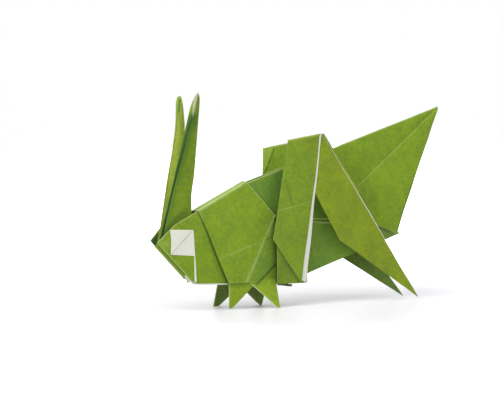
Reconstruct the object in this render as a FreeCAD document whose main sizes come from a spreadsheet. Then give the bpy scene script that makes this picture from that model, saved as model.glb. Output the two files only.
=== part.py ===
import FreeCAD, Part
import math
import os
import re
import Sketcher

# Katydid folded from one square of paper. It is drawn flat, as facets in the side plane (x towards the tail,
# z up), and each facet is then swung about its crease to where the fold leaves it. Left is -Y, right is +Y.
# Lengths are in millimetres and angles in degrees. All the facets are one sheet, so they end as one solid.

SIZES = {
    # paper
    "layer": (0.3, "thickness of a pressed facet"),
    "step": (0.2, "rise of one layer over the layer it lies on"),
    "crease_radius": (0.2, "outside radius of a pressed fold"),
    "knee_radius": (0.36, "outside radius of the fold over the knee"),
    "lean": (6, "how far the body leans to its right side"),
    "toe_sink": (0.42, "length of each short leg's toe that the table presses flat"),
    "hind_toe_sink": (0.12, "the same on a hind leg"),
    # height of the underside and widths of the body
    "hem": (7.7, "height of the saddle's lower edge"),
    "hip_drop": (0.85, "how far the hips' lower edge lies below the hem"),
    "chin_rise": (0.5, "how far the chin's lower end lies above the hem"),
    "body_half": (2.6, "half the width of head and abdomen"),
    "nest_gap": (0.1, "how much wider the saddle is, each side, than what it wraps"),
    # saddle over the shoulders
    "spine_front_x": (-24.0, "front end of the saddle's spine"),
    "spine_front_z": (30.3, "height of the spine's front end"),
    "spine_length": (18.6, "length of the spine"),
    "spine_slope": (26.8, "rise of the spine towards the tail"),
    "collar_angle": (20, "lean of the saddle's front edge from upright"),
    "rear_edge_length": (14.0, "sloping rear edge below the spine"),
    "rear_edge_slope": (49, "fall of that rear edge"),
    "side_fold_angle": (29.3, "lean of the side's mountain fold from upright"),
    "side_fold": (14, "how far the rear facet turns in at that fold"),
    "saddle_spread": (4, "how far each side opens out below the spine"),
    "skirt_x": (1.0, "rear end of the skirt"),
    "notch": (5.0, "corner cut from the skirt over the middle leg"),
    # head
    "nose_x": (-38.0, "tip of the nose"),
    "nose_z": (21.2, "height of the nose"),
    "brow_x": (-32.6, "corner of the brow"),
    "brow_z": (25.8, "height of the brow"),
    "chin_slope": (48.5, "fall of the chin"),
    "neck_tuck": (6.0, "length of the head's wall under the saddle"),
    "eye_x": (-33.8, "front edge of the square eye"),
    "eye_top": (24.6, "top edge of the eye"),
    "eye_side": (7.7, "side of the eye"),
    "cheek_strip": (0.6, "width of the white strip behind the cheek"),
    # antennae
    "antenna_x": (-34.6, "foot of an antenna's fold"),
    "antenna_z": (26.0, "height of that foot"),
    "antenna_length": (41.3, "foot to tip"),
    "antenna_root": (4.0, "length hidden in the head"),
    "antenna_reach": (0.9, "foot of an antenna to the middle plane"),
    "left_antenna_rake": (15.6, "lean of the left antenna towards the tail"),
    "right_antenna_rake": (13.6, "lean of the right antenna towards the tail"),
    "antenna_splay": (5.5, "lean of an antenna outwards"),
    "antenna_rear_fold": (11, "turn of the rear flange out of the side plane"),
    "antenna_front_fold": (30, "turn of the front flange out of the side plane"),
    "antenna_rear_width": (8.4, "width of the rear flange at its foot"),
    "antenna_waist_width": (3.8, "width of the rear flange at its waist"),
    "antenna_waist": (24.3, "foot to waist"),
    "left_antenna_front_width": (2.2, "width of the left antenna's front flange"),
    "right_antenna_front_width": (1.2, "width of the right antenna's front flange"),
    "antenna_tip_width": (0.9, "width of a flange below the tip"),
    "antenna_tip_length": (2.6, "length of the pointed tip"),
    # legs at the front
    "left_front_toe_x": (-14.8, "toe of the left front leg"),
    "right_front_toe_x": (-15.2, "toe of the right front leg"),
    "front_leg_rear_x": (-6.0, "rear corner of a front leg"),
    "middle_leg_front_x": (-8.8, "front corner of a middle leg"),
    "left_middle_toe_x": (0.3, "toe of the left middle leg"),
    "right_middle_toe_x": (-0.5, "toe of the right middle leg"),
    "leg_lift": (0.12, "how far a short leg's crease lies above the hem, inside the saddle"),
    "leg_inset": (0.35, "gap between a leg's crease and the end of the hem"),
    "leg_tuck": (6.2, "height of a leg's root inside the saddle"),
    "left_front_splay": (-16, "turn of the left front leg, outwards"),
    "right_front_splay": (26, "turn of the right front leg, outwards"),
    "middle_splay": (23, "turn of a middle leg, outwards"),
    "left_front_reach": (2.4, "left front toe to the middle plane"),
    "right_front_reach": (7.8, "right front toe to the middle plane"),
    "middle_reach": (7.0, "middle toe to the middle plane"),
    # abdomen
    "body_slope": (18, "rise of the back and of the belly"),
    "back_length": (76.1, "rear end of the spine to the tip of the wings"),
    "back_drop": (0.5, "how far the back lies below the spine's rear end"),
    "tail_taper": (2.2, "how far each wall of the abdomen closes towards the tail"),
    "abdomen_front_x": (-9.0, "front end of the abdomen, inside the saddle"),
    "abdomen_back_x": (16.0, "rear end of the open back"),
    "abdomen_rear_x": (33.0, "rear end of the abdomen's wall"),
    "hip_front_x": (0.6, "front end of the hips"),
    "hip_rear_x": (11.0, "rear end of the hips"),
    "hip_rise": (14.0, "height of the hip's panel"),
    "belly_step_x": (0.6, "step back from the hips to the belly's fold"),
    "belly_step_z": (2.4, "step up from the hips to the belly's fold"),
    "belly_length": (37.9, "length of the belly's fold"),
    "pocket_top": (26.4, "height of the belly pocket's raw edge"),
    "pocket_front_x": (6.0, "front end of the pocket's edge"),
    "pocket_rear_x": (38.0, "rear end of the pocket's edge"),
    # wings
    "wing_front_x": (14.0, "front end of the wings' ridge"),
    "wing_root_length": (4.0, "length of the web that ties the wings' ridge to the abdomen"),
    "wing_root_depth": (1.2, "depth of that web below the back"),
    "wing_edge_length": (44.7, "rear edge of a wing"),
    "wing_tip_angle": (47.3, "angle between ridge and rear edge"),
    "wing_corner_angle": (94, "angle between rear edge and lower edge"),
    "wing_hem_length": (14.2, "lower edge of a wing"),
    "wing_crease_angle": (20.6, "angle between ridge and crease"),
    "wing_crease_length": (48.4, "length of the crease"),
    "wing_crease_stop": (1.5, "gap between the crease and the tip"),
    "wing_spread": (2.5, "how far each wing opens out below the ridge"),
    # hind legs
    "thigh_root_x": (8.9, "lower point of the left thigh"),
    "right_thigh_shift": (0.5, "how much nearer the tail the right thigh sits"),
    "right_thigh_drop": (0.8, "how much lower the right thigh sits"),
    "thigh_half": (5.0, "thigh to the middle plane at the hips"),
    "thigh_splay": (5.3, "lean of the thigh outwards"),
    "thigh_rake": (8.8, "lean of the thigh's rear edge towards the tail"),
    "thigh_front_rake": (10.2, "lean of the thigh's front edge towards the tail"),
    "thigh_length": (46.3, "rear edge of the thigh"),
    "thigh_front_length": (30.4, "front edge of the thigh"),
    "thigh_width": (11.5, "width of the thigh's strip"),
    "knee_rise": (10.4, "rise of the knee's fold towards the tail"),
    "lining_top": (0.7, "white lining beside the knee"),
    "lining_foot": (2.1, "white lining beside the thigh's lower point"),
    "shin_front_length": (36.2, "front edge of the shin"),
    "shin_front_slope": (60.2, "fall of the shin's front edge"),
    "hind_toe_x": (51.4, "toe of a hind leg"),
    "hind_reach": (4.0, "hind toe to the middle plane"),
    "knee_layer": (0.7, "inner layer that shows behind the knee"),
    "knee_layer_length": (15.0, "length of that layer down the shin"),
}

SIDES = {"left": -1, "right": 1}
SHEET_NAME = "Sizes"
PART_NAME = "folded_sheet"
FAR = 400.0

doc = FreeCAD.newDocument("katydid")
facets = []


def fill_spreadsheet():
    """Write each size as a plain number with its alias and its meaning."""
    sheet = doc.addObject("Spreadsheet::Sheet", SHEET_NAME)
    for row, (alias, (value, meaning)) in enumerate(SIZES.items(), start=1):
        sheet.set(f"A{row}", alias)
        sheet.set(f"B{row}", str(value))
        sheet.set(f"C{row}", meaning)
        sheet.setAlias(f"B{row}", alias)
    doc.recompute()


def in_sheet(expression):
    """Point every size named in an expression at its cell."""
    names = "|".join(sorted(SIZES, key=len, reverse=True))
    return re.sub(rf"\b({names})\b", rf"{SHEET_NAME}.\1", expression)


# ---------------------------------------------------------------- points of the side drawing, as expressions
def away(point, length, angle):
    """The point a length away from another, at an angle above the x axis."""
    x, z = point
    return f"({x}) + ({length}) * cos({angle})", f"({z}) + ({length}) * sin({angle})"


def down_to(point, height, lean):
    """Where a line through a point, leaning back by an angle from upright, comes down to a height."""
    x, z = point
    return f"({x}) + (({z}) - ({height})) * tan({lean})", height


def along(point, x):
    """Where a line through a point, rising as the body does, passes an x."""
    return x, f"({point[1]}) + (({x}) - ({point[0]})) * tan(body_slope)"


def toe(x, side, reach, splay):
    """A toe in the drawing: the leg turns outwards by splay and its foot then meets the leaning floor."""
    drop = f"({LEG_HEM} - {side} * {reach} * tan(lean)) / cos(saddle_spread + {splay})"
    return x, f"{LEG_HEM} - {drop} - toe_sink"


HIP = "(hem - hip_drop)"
CHIN = "(hem + chin_rise)"
LEG_HEM = "(hem + leg_lift)"
SPINE_FRONT = ("spine_front_x", "spine_front_z")
SPINE_REAR = away(SPINE_FRONT, "spine_length", "spine_slope")
COLLAR_FOOT = down_to(SPINE_FRONT, "hem", "collar_angle")
REAR_CORNER = away(SPINE_REAR, "rear_edge_length", "-rear_edge_slope")
FOLD_FOOT = down_to(REAR_CORNER, "hem", "-side_fold_angle")
NOTCH_TOP = ("skirt_x", "hem + notch")
NOTCH_FRONT = ("skirt_x - notch", "hem")

NOSE = ("nose_x", "nose_z")
BROW = ("brow_x", "brow_z")
CHIN_FOOT = (f"nose_x + (nose_z - {CHIN}) / tan(chin_slope)", CHIN)
NECK_TUCK = away(SPINE_FRONT, "neck_tuck", "spine_slope")
HIP_FRONT = ("hip_front_x", HIP)
HIP_REAR = ("hip_rear_x", HIP)

ANTENNA_FOOT = ("antenna_x", "antenna_z")

BACK = (SPINE_REAR[0], f"{SPINE_REAR[1]} - back_drop")
TAIL = away(BACK, "back_length", "body_slope")
BELLY_FRONT = ("hip_rear_x + belly_step_x", f"{HIP} + belly_step_z")
BELLY_TAIL = away(BELLY_FRONT, "belly_length", "body_slope")
WING_FRONT = along(BACK, "wing_front_x")
WING_LOW = away(TAIL, "wing_edge_length", "180 + body_slope + wing_tip_angle")
WING_HEM_END = away(WING_LOW, "wing_hem_length", "body_slope + wing_tip_angle + wing_corner_angle")
WING_CREASE_END = away(TAIL, "wing_crease_length", "180 + body_slope + wing_crease_angle")

THIGH_ROOTS = {
    "left": ("thigh_root_x", HIP),
    "right": ("thigh_root_x + right_thigh_shift", f"{HIP} - right_thigh_drop"),
}
HIND_TOE = ("hind_toe_x", "hind_reach * tan(lean) - hind_toe_sink")


# ---------------------------------------------------------------- facets, creases and how they are swung
def draw(name, corners):
    """A closed outline whose corners are held at the distances given by the sheet."""
    sketch = doc.addObject("Sketcher::SketchObject", name)
    count = len(corners)
    turns = [2 * math.pi * index / count for index in range(count)]
    start = [FreeCAD.Vector(math.cos(turn), math.sin(turn), 0) for turn in turns]
    for index in range(count):
        sketch.addGeometry(Part.LineSegment(start[index], start[(index + 1) % count]), False)
    for index in range(count):
        sketch.addConstraint(Sketcher.Constraint("Coincident", index, 2, (index + 1) % count, 1))
    for index, (across, up) in enumerate(corners):
        for kind, place, expression in (
            ("DistanceX", start[index].x, across),
            ("DistanceY", start[index].y, up),
        ):
            number = sketch.addConstraint(Sketcher.Constraint(kind, -1, 1, index, 1, place))
            sketch.setExpression(f"Constraints[{number}]", in_sheet(expression))
    return sketch


def side_drawing(name, corners):
    """An outline in the side plane."""
    sketch = draw(name, corners)
    sketch.Placement = FreeCAD.Placement(FreeCAD.Vector(), FreeCAD.Rotation(FreeCAD.Vector(1, 0, 0), 90))
    return sketch


def facet(name, sketch, placement):
    """A facet of paper: an outline given its thickness and swung to its place."""
    plate = doc.addObject("Part::Extrusion", name)
    plate.Base = sketch
    plate.DirMode = "Normal"
    plate.Symmetric = True
    plate.Solid = True
    plate.setExpression("LengthFwd", in_sheet("layer"))
    plate.setExpression("Placement", in_sheet(placement))
    facets.append(plate)
    return plate


def crease(name, start, end, placement, radius="crease_radius"):
    """The rounded back of a fold between two points of the side drawing."""
    (x0, z0), (x1, z1) = start, end
    run = f"(({x1}) - ({x0}))"
    rise = f"(({z1}) - ({z0}))"
    rod = doc.addObject("Part::Cylinder", name)
    rod.setExpression("Radius", in_sheet(radius))
    rod.setExpression("Height", in_sheet(f"hypot({run}; {rise})"))
    place = f"placement(vector({x0}; 0; {z0}); rotation(vector(0; 1; 0); atan2({run}; {rise})))"
    rod.setExpression("Placement", in_sheet(f"{placement} * {place}"))
    facets.append(rod)


def sideways(distance):
    """A move across the body."""
    return f"placement(vector(0; {distance}; 0); rotation(vector(1; 0; 0); 0))"


def turned(start, end, angle):
    """A swing about the line between two points of the side drawing."""
    (x0, z0), (x1, z1) = start, end
    axis = f"vector(({x1}) - ({x0}); 0; ({z1}) - ({z0}))"
    return f"placement(vector(0; 0; 0); rotation({axis}; {angle}); vector({x0}; 0; {z0}))"


def level(point):
    """A second point straight behind another, for a level fold."""
    x, z = point
    return f"({x}) + 1", z


def band(name, start, end, half_start, half_end, shift="0"):
    """A facet that spans the body, between two points of the side drawing, with a half width at each."""
    (x0, z0), (x1, z1) = start, end
    run = f"(({x1}) - ({x0}))"
    rise = f"(({z1}) - ({z0}))"
    length = f"hypot({run}; {rise})"
    corners = [("0", f"-({half_start})"), (length, f"-({half_end})"), (length, half_end), ("0", half_start)]
    slope = f"rotation(vector(0; 1; 0); -atan2({rise}; {run}))"
    place = f"placement(vector({x0}; {shift}; {z0}); {slope})"
    return facet(name, draw(f"{name}_outline", corners), place)


# ---------------------------------------------------------------- the parts of the insect
def saddle():
    """Spine, two sides with their mountain folds, and four legs under the skirt."""
    spine_half = "body_half + nest_gap"
    band("spine", SPINE_FRONT, SPINE_REAR, spine_half, spine_half)
    side_outline = side_drawing("saddle_outline", [SPINE_FRONT, SPINE_REAR, REAR_CORNER, FOLD_FOOT, COLLAR_FOOT])
    rear_outline = side_drawing("skirt_outline", [REAR_CORNER, NOTCH_TOP, NOTCH_FRONT, FOLD_FOOT])
    for side, sign in SIDES.items():
        edge = sideways(f"{sign} * ({spine_half})")
        crease(f"{side}_spine_crease", SPINE_FRONT, SPINE_REAR, edge)
        spread = turned(SPINE_FRONT, SPINE_REAR, f"{sign} * saddle_spread")
        facet(f"{side}_saddle", side_outline, f"{edge} * {spread}")
        crease(f"{side}_side_crease", REAR_CORNER, FOLD_FOOT, f"{side}_saddle.Placement")
        turn = turned(REAR_CORNER, FOLD_FOOT, f"{sign} * side_fold")
        facet(f"{side}_skirt", rear_outline, f"{side}_saddle.Placement * {turn}")


def short_leg(name, side, parent, front, root_rear, rear, tip, splay):
    """A pointed leg: a root tucked inside the saddle and a flap turned out below the hem."""
    sign = SIDES[side]
    inside = f"{parent}.Placement * {sideways(f'{-sign} * step')}"
    root = [front, (root_rear[0], "hem + leg_tuck"), root_rear]
    facet(f"{name}_root", side_drawing(f"{name}_root_outline", root), inside)
    crease(f"{name}_crease", front, root_rear, inside)
    turn = turned(front, rear, f"{sign} * ({splay})")
    facet(name, side_drawing(f"{name}_outline", [front, rear, tip]), f"{inside} * {turn}")


def short_legs():
    """The front and middle legs of both sides."""
    for side, sign in SIDES.items():
        splay = f"{side}_front_splay"
        tip = toe(f"{side}_front_toe_x", sign, f"{side}_front_reach", splay)
        front, rear = (f"{COLLAR_FOOT[0]} + leg_inset", LEG_HEM), ("front_leg_rear_x", LEG_HEM)
        fold_foot = (f"{FOLD_FOOT[0]} - leg_inset", LEG_HEM)
        short_leg(f"{side}_front_leg", side, f"{side}_saddle", front, fold_foot, rear, tip, splay)
        tip = toe(f"{side}_middle_toe_x", sign, "middle_reach", "middle_splay")
        front, rear = ("middle_leg_front_x", LEG_HEM), ("skirt_x + leg_inset", LEG_HEM)
        short_leg(f"{side}_middle_leg", side, f"{side}_skirt", front, rear, rear, tip, "middle_splay")


def head():
    """Two walls open at the top, a chin band of two layers, square eyes and the strips behind the cheeks."""
    band("chin", NOSE, CHIN_FOOT, "body_half", "body_half")
    band("chin_flap", away(NOSE, "step", "180 + 90 - chin_slope"), away(CHIN_FOOT, "step", "180 + 90 - chin_slope"),
         "body_half / 2", "body_half / 2", "-body_half / 2")
    band("underside", CHIN_FOOT, HIP_FRONT, "body_half", "body_half")
    wall = side_drawing("head_outline", [NOSE, BROW, SPINE_FRONT, NECK_TUCK, FOLD_FOOT, CHIN_FOOT])
    eye_end, eye_foot = "eye_x + eye_side", "eye_top - eye_side"
    eye = side_drawing("eye_outline", [("eye_x", "eye_top"), (eye_end, "eye_top"), (eye_end, eye_foot),
                                       ("eye_x", eye_foot)])
    strip_end = f"{eye_end} + cheek_strip"
    strip = side_drawing("strip_outline", [(eye_end, "eye_top"), (strip_end, CHIN), (eye_end, CHIN)])
    for side, sign in SIDES.items():
        wall_place = sideways(f"{sign} * body_half")
        outer_place = sideways(f"{sign} * (body_half + step)")
        facet(f"{side}_head", wall, wall_place)
        crease(f"{side}_chin_crease", NOSE, CHIN_FOOT, wall_place)
        crease(f"{side}_hem_crease", CHIN_FOOT, HIP_FRONT, wall_place)
        facet(f"{side}_eye", eye, outer_place)
        facet(f"{side}_cheek_strip", strip, outer_place)


def antennae():
    """Two channels, each folded along a valley that runs from the brow to the tip and open outwards."""
    for side, sign in SIDES.items():
        rake = f"{side}_antenna_rake"
        up, across = f"90 - {rake}", f"-{rake}"
        root = away(ANTENNA_FOOT, "-antenna_root", up)
        tip = away(ANTENNA_FOOT, "antenna_length", up)
        neck = away(ANTENNA_FOOT, "antenna_length - antenna_tip_length", up)
        waist = away(ANTENNA_FOOT, "antenna_waist", up)
        shoulder = away(ANTENNA_FOOT, "antenna_length * 0.8", up)
        front_width = f"-{side}_antenna_front_width"
        rear = side_drawing(f"{side}_antenna_rear_outline", [
            tip, away(neck, "antenna_tip_width", across), away(waist, "antenna_waist_width", across),
            away(ANTENNA_FOOT, "antenna_rear_width", across), root,
        ])
        front = side_drawing(f"{side}_antenna_front_outline", [
            tip, root, away(ANTENNA_FOOT, front_width, across), away(shoulder, front_width, across),
            away(neck, "-antenna_tip_width", across),
        ])
        lean_out = turned(ANTENNA_FOOT, level(ANTENNA_FOOT), f"{-sign} * antenna_splay")
        stalk = f"{sideways(f'{sign} * antenna_reach')} * {lean_out}"
        crease(f"{side}_antenna_crease", root, tip, stalk)
        rear_turn = turned(root, tip, f"{sign} * antenna_rear_fold")
        front_turn = turned(root, tip, f"{-sign} * antenna_front_fold")
        facet(f"{side}_antenna_rear", rear, f"{stalk} * {rear_turn}")
        facet(f"{side}_antenna_front", front, f"{stalk} * {front_turn}")


def abdomen():
    """Two walls open along the back, the belly's fold and its outer pocket, and the hips' floor."""
    hip_half = "thigh_half - step"
    front_half = f"body_half - ({BELLY_FRONT[0]} - abdomen_front_x) * tan(tail_taper)"
    tail_half = f"body_half - ({BELLY_TAIL[0]} - abdomen_front_x) * tan(tail_taper)"
    band("hips", HIP_FRONT, HIP_REAR, hip_half, hip_half)
    band("belly_riser", HIP_REAR, BELLY_FRONT, hip_half, front_half)
    band("belly", BELLY_FRONT, BELLY_TAIL, front_half, tail_half)
    rear_top = ("abdomen_rear_x", "pocket_top")
    wall = side_drawing("abdomen_outline", [
        along(BACK, "abdomen_front_x"), along(BACK, "abdomen_back_x"), rear_top,
        along(BELLY_FRONT, "abdomen_rear_x"), BELLY_FRONT, HIP_REAR, HIP_FRONT, ("abdomen_front_x", "hem"),
    ])
    pocket = side_drawing("pocket_outline", [
        ("pocket_front_x", "pocket_top"), ("pocket_rear_x", "pocket_top"), BELLY_TAIL, BELLY_FRONT,
        ("pocket_front_x", f"{HIP} + 1"),
    ])
    panel = side_drawing("hip_outline", [
        HIP_FRONT, HIP_REAR, ("hip_rear_x", f"{HIP} + hip_rise"), ("hip_front_x", f"{HIP} + hip_rise"),
    ])
    upright = ("abdomen_front_x", "0"), ("abdomen_front_x", "1")
    for side, sign in SIDES.items():
        taper = turned(*upright, f"{-sign} * tail_taper")
        facet(f"{side}_abdomen", wall, f"{sideways(f'{sign} * body_half')} * {taper}")
        facet(f"{side}_pocket", pocket, f"{sideways(f'{sign} * (body_half + step)')} * {taper}")
        crease(f"{side}_belly_crease", BELLY_FRONT, BELLY_TAIL, f"{side}_abdomen.Placement")
        splay = turned(HIP_FRONT, HIP_REAR, f"{-sign} * thigh_splay")
        facet(f"{side}_hip", panel, f"{sideways(f'{sign} * ({hip_half})')} * {splay}")
        crease(f"{side}_hip_crease", HIP_FRONT, HIP_REAR, f"{side}_hip.Placement")


def wings():
    """A roof folded along the ridge, each wing with a pressed crease that runs to the tip."""
    crease("wing_ridge", WING_FRONT, TAIL, sideways("0"))
    root_front = away(WING_FRONT, "wing_root_depth", "body_slope - 90")
    root_rear = away(root_front, "wing_root_length", "body_slope")
    root_half = f"body_half - ({WING_FRONT[0]} - abdomen_front_x) * tan(tail_taper)"
    band("wing_root", root_front, root_rear, root_half, root_half)
    outline = side_drawing("wing_outline", [TAIL, WING_LOW, WING_HEM_END, WING_CREASE_END, WING_FRONT])
    crease_start = away(TAIL, "wing_crease_stop", "180 + body_slope + wing_crease_angle")
    for side, sign in SIDES.items():
        facet(f"{side}_wing", outline, turned(WING_FRONT, TAIL, f"{sign} * wing_spread"))
        crease(f"{side}_wing_crease", WING_CREASE_END, crease_start, f"{side}_wing.Placement")


def hind_legs():
    """Thigh and shin of each side: one strip folded over the knee, with a lining behind the thigh.

    Both strips are folded over to the right, so the left shin is inside its thigh and the right shin outside.
    """
    for side, sign in SIDES.items():
        root = THIGH_ROOTS[side]
        knee_rear = away(root, "thigh_length", "90 - thigh_rake")
        knee_front = away(knee_rear, "thigh_width", "180 + knee_rise")
        thigh_heel = away(knee_front, "-thigh_front_length", "90 - thigh_front_rake")
        shin_heel = away(knee_front, "shin_front_length", "-shin_front_slope")
        lining_knee = away(knee_rear, "lining_top", "-thigh_rake")
        lining_toe = (f"{root[0]} + lining_foot", root[1])
        knee_out = away(lining_knee, "knee_layer", "-thigh_rake")
        knee_end = away(lining_knee, "knee_layer_length", "-shin_front_slope")
        layers = {
            "thigh": [knee_front, knee_rear, root, thigh_heel],
            "lining": [knee_front, lining_knee, lining_toe, root],
            "shin": [knee_front, lining_knee, HIND_TOE, shin_heel],
            "knee_layer": [knee_front, knee_out, knee_end],
        }
        splay = turned(root, level(root), f"{-sign} * thigh_splay")
        thigh = f"{sideways(f'{sign} * thigh_half')} * {splay}"
        for depth, (name, corners) in enumerate(layers.items()):
            outline = side_drawing(f"{side}_{name}_outline", corners)
            facet(f"{side}_{name}", outline, f"{thigh} * {sideways(f'{depth} * step')}")
        crease(f"{side}_knee_crease", knee_front, lining_knee, f"{thigh} * {sideways('1.5 * step')}", "knee_radius")


def join():
    """All facets as one sheet, leaned over and set down on its toes."""
    sheet = None
    for part in (saddle, short_legs, head, antennae, abdomen, wings, hind_legs):
        before = len(facets)
        part()
        joined = doc.addObject("Part::MultiFuse", f"sheet_with_{part.__name__}")
        joined.Shapes = ([sheet] if sheet else []) + facets[before:]
        joined.Refine = True
        sheet = joined
    sheet.setExpression("Placement", in_sheet("placement(vector(0; 0; 0); rotation(vector(1; 0; 0); -lean))"))
    table = doc.addObject("Part::Box", "table")
    table.Length = FAR
    table.Width = FAR
    table.Height = FAR
    table.Placement.Base = FreeCAD.Vector(-FAR / 2, -FAR / 2, -FAR)
    standing = doc.addObject("Part::Cut", PART_NAME)
    standing.Base = sheet
    standing.Tool = table
    standing.Refine = True
    doc.recompute()
    box = standing.Shape.BoundBox
    standing.Placement.Base = FreeCAD.Vector(-box.Center.x, -box.Center.y, 0)
    standing.Label = PART_NAME
    doc.recompute()
    return standing


def check(part):
    """Stop if any object failed or the sheet isn't one valid solid."""
    failed = [item.Name for item in doc.Objects if {"Invalid", "Error"} & set(item.State)]
    if failed:
        raise RuntimeError(f"objects failed: {failed}")
    shape = part.Shape
    if shape.isNull() or not shape.isValid() or len(shape.Solids) != 1:
        raise RuntimeError(f"the sheet isn't one valid solid: {len(shape.Solids)} solids")
    box = shape.BoundBox
    print(f"{part.Label}: {box.XLength:.1f} x {box.YLength:.1f} x {box.ZLength:.1f} mm, "
          f"{shape.Volume:.0f} mm3, {len(shape.Faces)} faces")


fill_spreadsheet()
katydid = join()
check(katydid)
os.makedirs("parts", exist_ok=True)
katydid.Shape.exportStep(f"parts/{katydid.Label}.step")
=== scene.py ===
import logging
import math
from dataclasses import dataclass, fields
from enum import Enum
from typing import Sequence

import bmesh
import bpy
import numpy as np
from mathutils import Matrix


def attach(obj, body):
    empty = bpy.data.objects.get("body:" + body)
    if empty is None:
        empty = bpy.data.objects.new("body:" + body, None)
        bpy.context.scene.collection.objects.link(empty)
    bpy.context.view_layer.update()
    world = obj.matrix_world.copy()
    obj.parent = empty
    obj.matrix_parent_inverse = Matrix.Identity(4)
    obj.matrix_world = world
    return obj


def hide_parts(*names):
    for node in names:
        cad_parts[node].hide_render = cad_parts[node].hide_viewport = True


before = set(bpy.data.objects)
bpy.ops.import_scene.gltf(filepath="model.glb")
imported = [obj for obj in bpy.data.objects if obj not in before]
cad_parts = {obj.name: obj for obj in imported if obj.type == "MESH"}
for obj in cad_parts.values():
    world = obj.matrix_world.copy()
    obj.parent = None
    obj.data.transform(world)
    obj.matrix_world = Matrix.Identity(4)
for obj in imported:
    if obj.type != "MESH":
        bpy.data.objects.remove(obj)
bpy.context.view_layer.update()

# Katydid folded from one square of paper, dressed for the render. The folds are laid out in the same side
# drawing as the part: x towards the tail, z up, in millimetres, with the left side at negative y. The whole
# body is then leaned over and moved to where the frame has it.

log = logging.getLogger("katydid")

Point = tuple[float, float]
Line = tuple[Point, ...]
Band = tuple[Line, Line]
Mark = tuple[Sequence[Point], float, float]
Triple = tuple[float, float, float]
Material = bpy.types.Material
Socket = bpy.types.NodeSocket
Node = bpy.types.Node
Tree = bpy.types.NodeTree
Value = float | Socket
MM = 0.001
NODE = "folded_sheet"
BODY = "root"
ARC_STEPS = 6
FOLD_SHARE = 0.4
WELD = 0.004


class Side(Enum):
    """The two sides of the insect, each the sign of its y."""

    LEFT = -1
    RIGHT = 1


class Tone(Enum):
    """Whether a pressed line shows rubbed lighter than the paper, or darker with painted shade in its fold.
    """

    LIGHT = 1
    DARK = -1


# The side drawing
def away(point: Point, length: float, degrees: float) -> Point:
    """The point a length away from another, at an angle above the x axis.

    Args:
        point: where to start.
        length: how far to go.
        degrees: the angle above the x axis.

    Returns:
        The point reached.
    """
    turn = math.radians(degrees)
    return point[0] + length * math.cos(turn), point[1] + length * math.sin(turn)


def rising(point: Point, x: float, degrees: float) -> Point:
    """The point at x on a line through another point.

    Args:
        point: a point on the line.
        x: where to stop.
        degrees: the line's rise.

    Returns:
        The point at x.
    """
    return x, point[1] + (x - point[0]) * math.tan(math.radians(degrees))


@dataclass(frozen=True)
class Drawing:
    """Lines of the side drawing that several parts share."""

    hem: float = 7.7
    hips: float = 6.85
    chin: float = 8.2
    spine_front: Point = (-24.0, 30.3)
    spine_length: float = 18.6
    spine_slope: float = 26.8
    collar_angle: float = 20.0
    rear_edge_length: float = 14.0
    rear_edge_slope: float = 49.0
    side_fold_angle: float = 29.3
    back_slope: float = 18.0
    back_drop: float = 0.5
    back_length: float = 76.1
    hip_front: float = 0.6
    hip_rear: float = 11.0
    belly_front: Point = (11.6, 9.25)
    belly_length: float = 37.9

    @property
    def spine_rear(self) -> Point:
        """Rear end of the saddle's spine."""
        return away(self.spine_front, self.spine_length, self.spine_slope)

    @property
    def rear_corner(self) -> Point:
        """Rear corner of the saddle's side."""
        return away(self.spine_rear, self.rear_edge_length, -self.rear_edge_slope)

    @property
    def collar_foot(self) -> Point:
        """Lower end of the saddle's front edge."""
        x, z = self.spine_front
        return x + (z - self.hem) * math.tan(math.radians(self.collar_angle)), self.hem

    @property
    def fold_foot(self) -> Point:
        """Lower end of the saddle's mountain fold."""
        x, z = self.rear_corner
        return x - (z - self.hem) * math.tan(math.radians(self.side_fold_angle)), self.hem

    @property
    def back(self) -> Point:
        """Front end of the abdomen's open back."""
        x, z = self.spine_rear
        return x, z - self.back_drop

    @property
    def tail(self) -> Point:
        """Tip of the wings."""
        return away(self.back, self.back_length, self.back_slope)

    @property
    def belly_tail(self) -> Point:
        """Rear end of the belly's fold."""
        return away(self.belly_front, self.belly_length, self.back_slope)


DRAWING = Drawing()


# Planes, rails and sheets
def shifted(distance: float) -> np.ndarray:
    """The side plane moved across the body.

    Args:
        distance: how far to move it, in y.

    Returns:
        A 4 by 4 matrix.
    """
    plane = np.eye(4)
    plane[1, 3] = distance
    return plane


def hinged(start: Point, end: Point, degrees: float) -> np.ndarray:
    """The side plane swung about a line of the drawing.

    Formula: Rodrigues' rotation, R = I + sin(t) K + (1 - cos(t)) K K, with K the cross matrix of the line.

    Args:
        start: one end of the hinge.
        end: its other end.
        degrees: how far to swing.

    Returns:
        A 4 by 4 matrix.
    """
    axis = np.array([end[0] - start[0], 0.0, end[1] - start[1]])
    axis /= np.linalg.norm(axis)
    cross = np.array([[0, -axis[2], axis[1]], [axis[2], 0, -axis[0]], [-axis[1], axis[0], 0]])
    turn = math.radians(degrees)
    plane = np.eye(4)
    plane[:3, :3] += math.sin(turn) * cross + (1 - math.cos(turn)) * cross @ cross
    foot = np.array([start[0], 0.0, start[1]])
    plane[:3, 3] = foot - plane[:3, :3] @ foot
    return plane


def marks(count: int, *stops: float) -> np.ndarray:
    """Values from 0 to 1, closer together beside each stop.

    Formula: within each interval, half of one minus the cosine of equal steps from 0 to pi.

    Args:
        count: about how many steps.
        stops: values that have to be among them.

    Returns:
        The values in order.
    """
    ends = (0.0, *stops, 1.0)
    pieces = []
    for low, high in zip(ends, ends[1:]):
        steps = max(4, round(count * (high - low)))
        pieces.append(low + (high - low) * 0.5 * (1 - np.cos(np.linspace(0, math.pi, steps + 1)[:-1])))
    return np.append(np.concatenate(pieces), 1.0)


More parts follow.
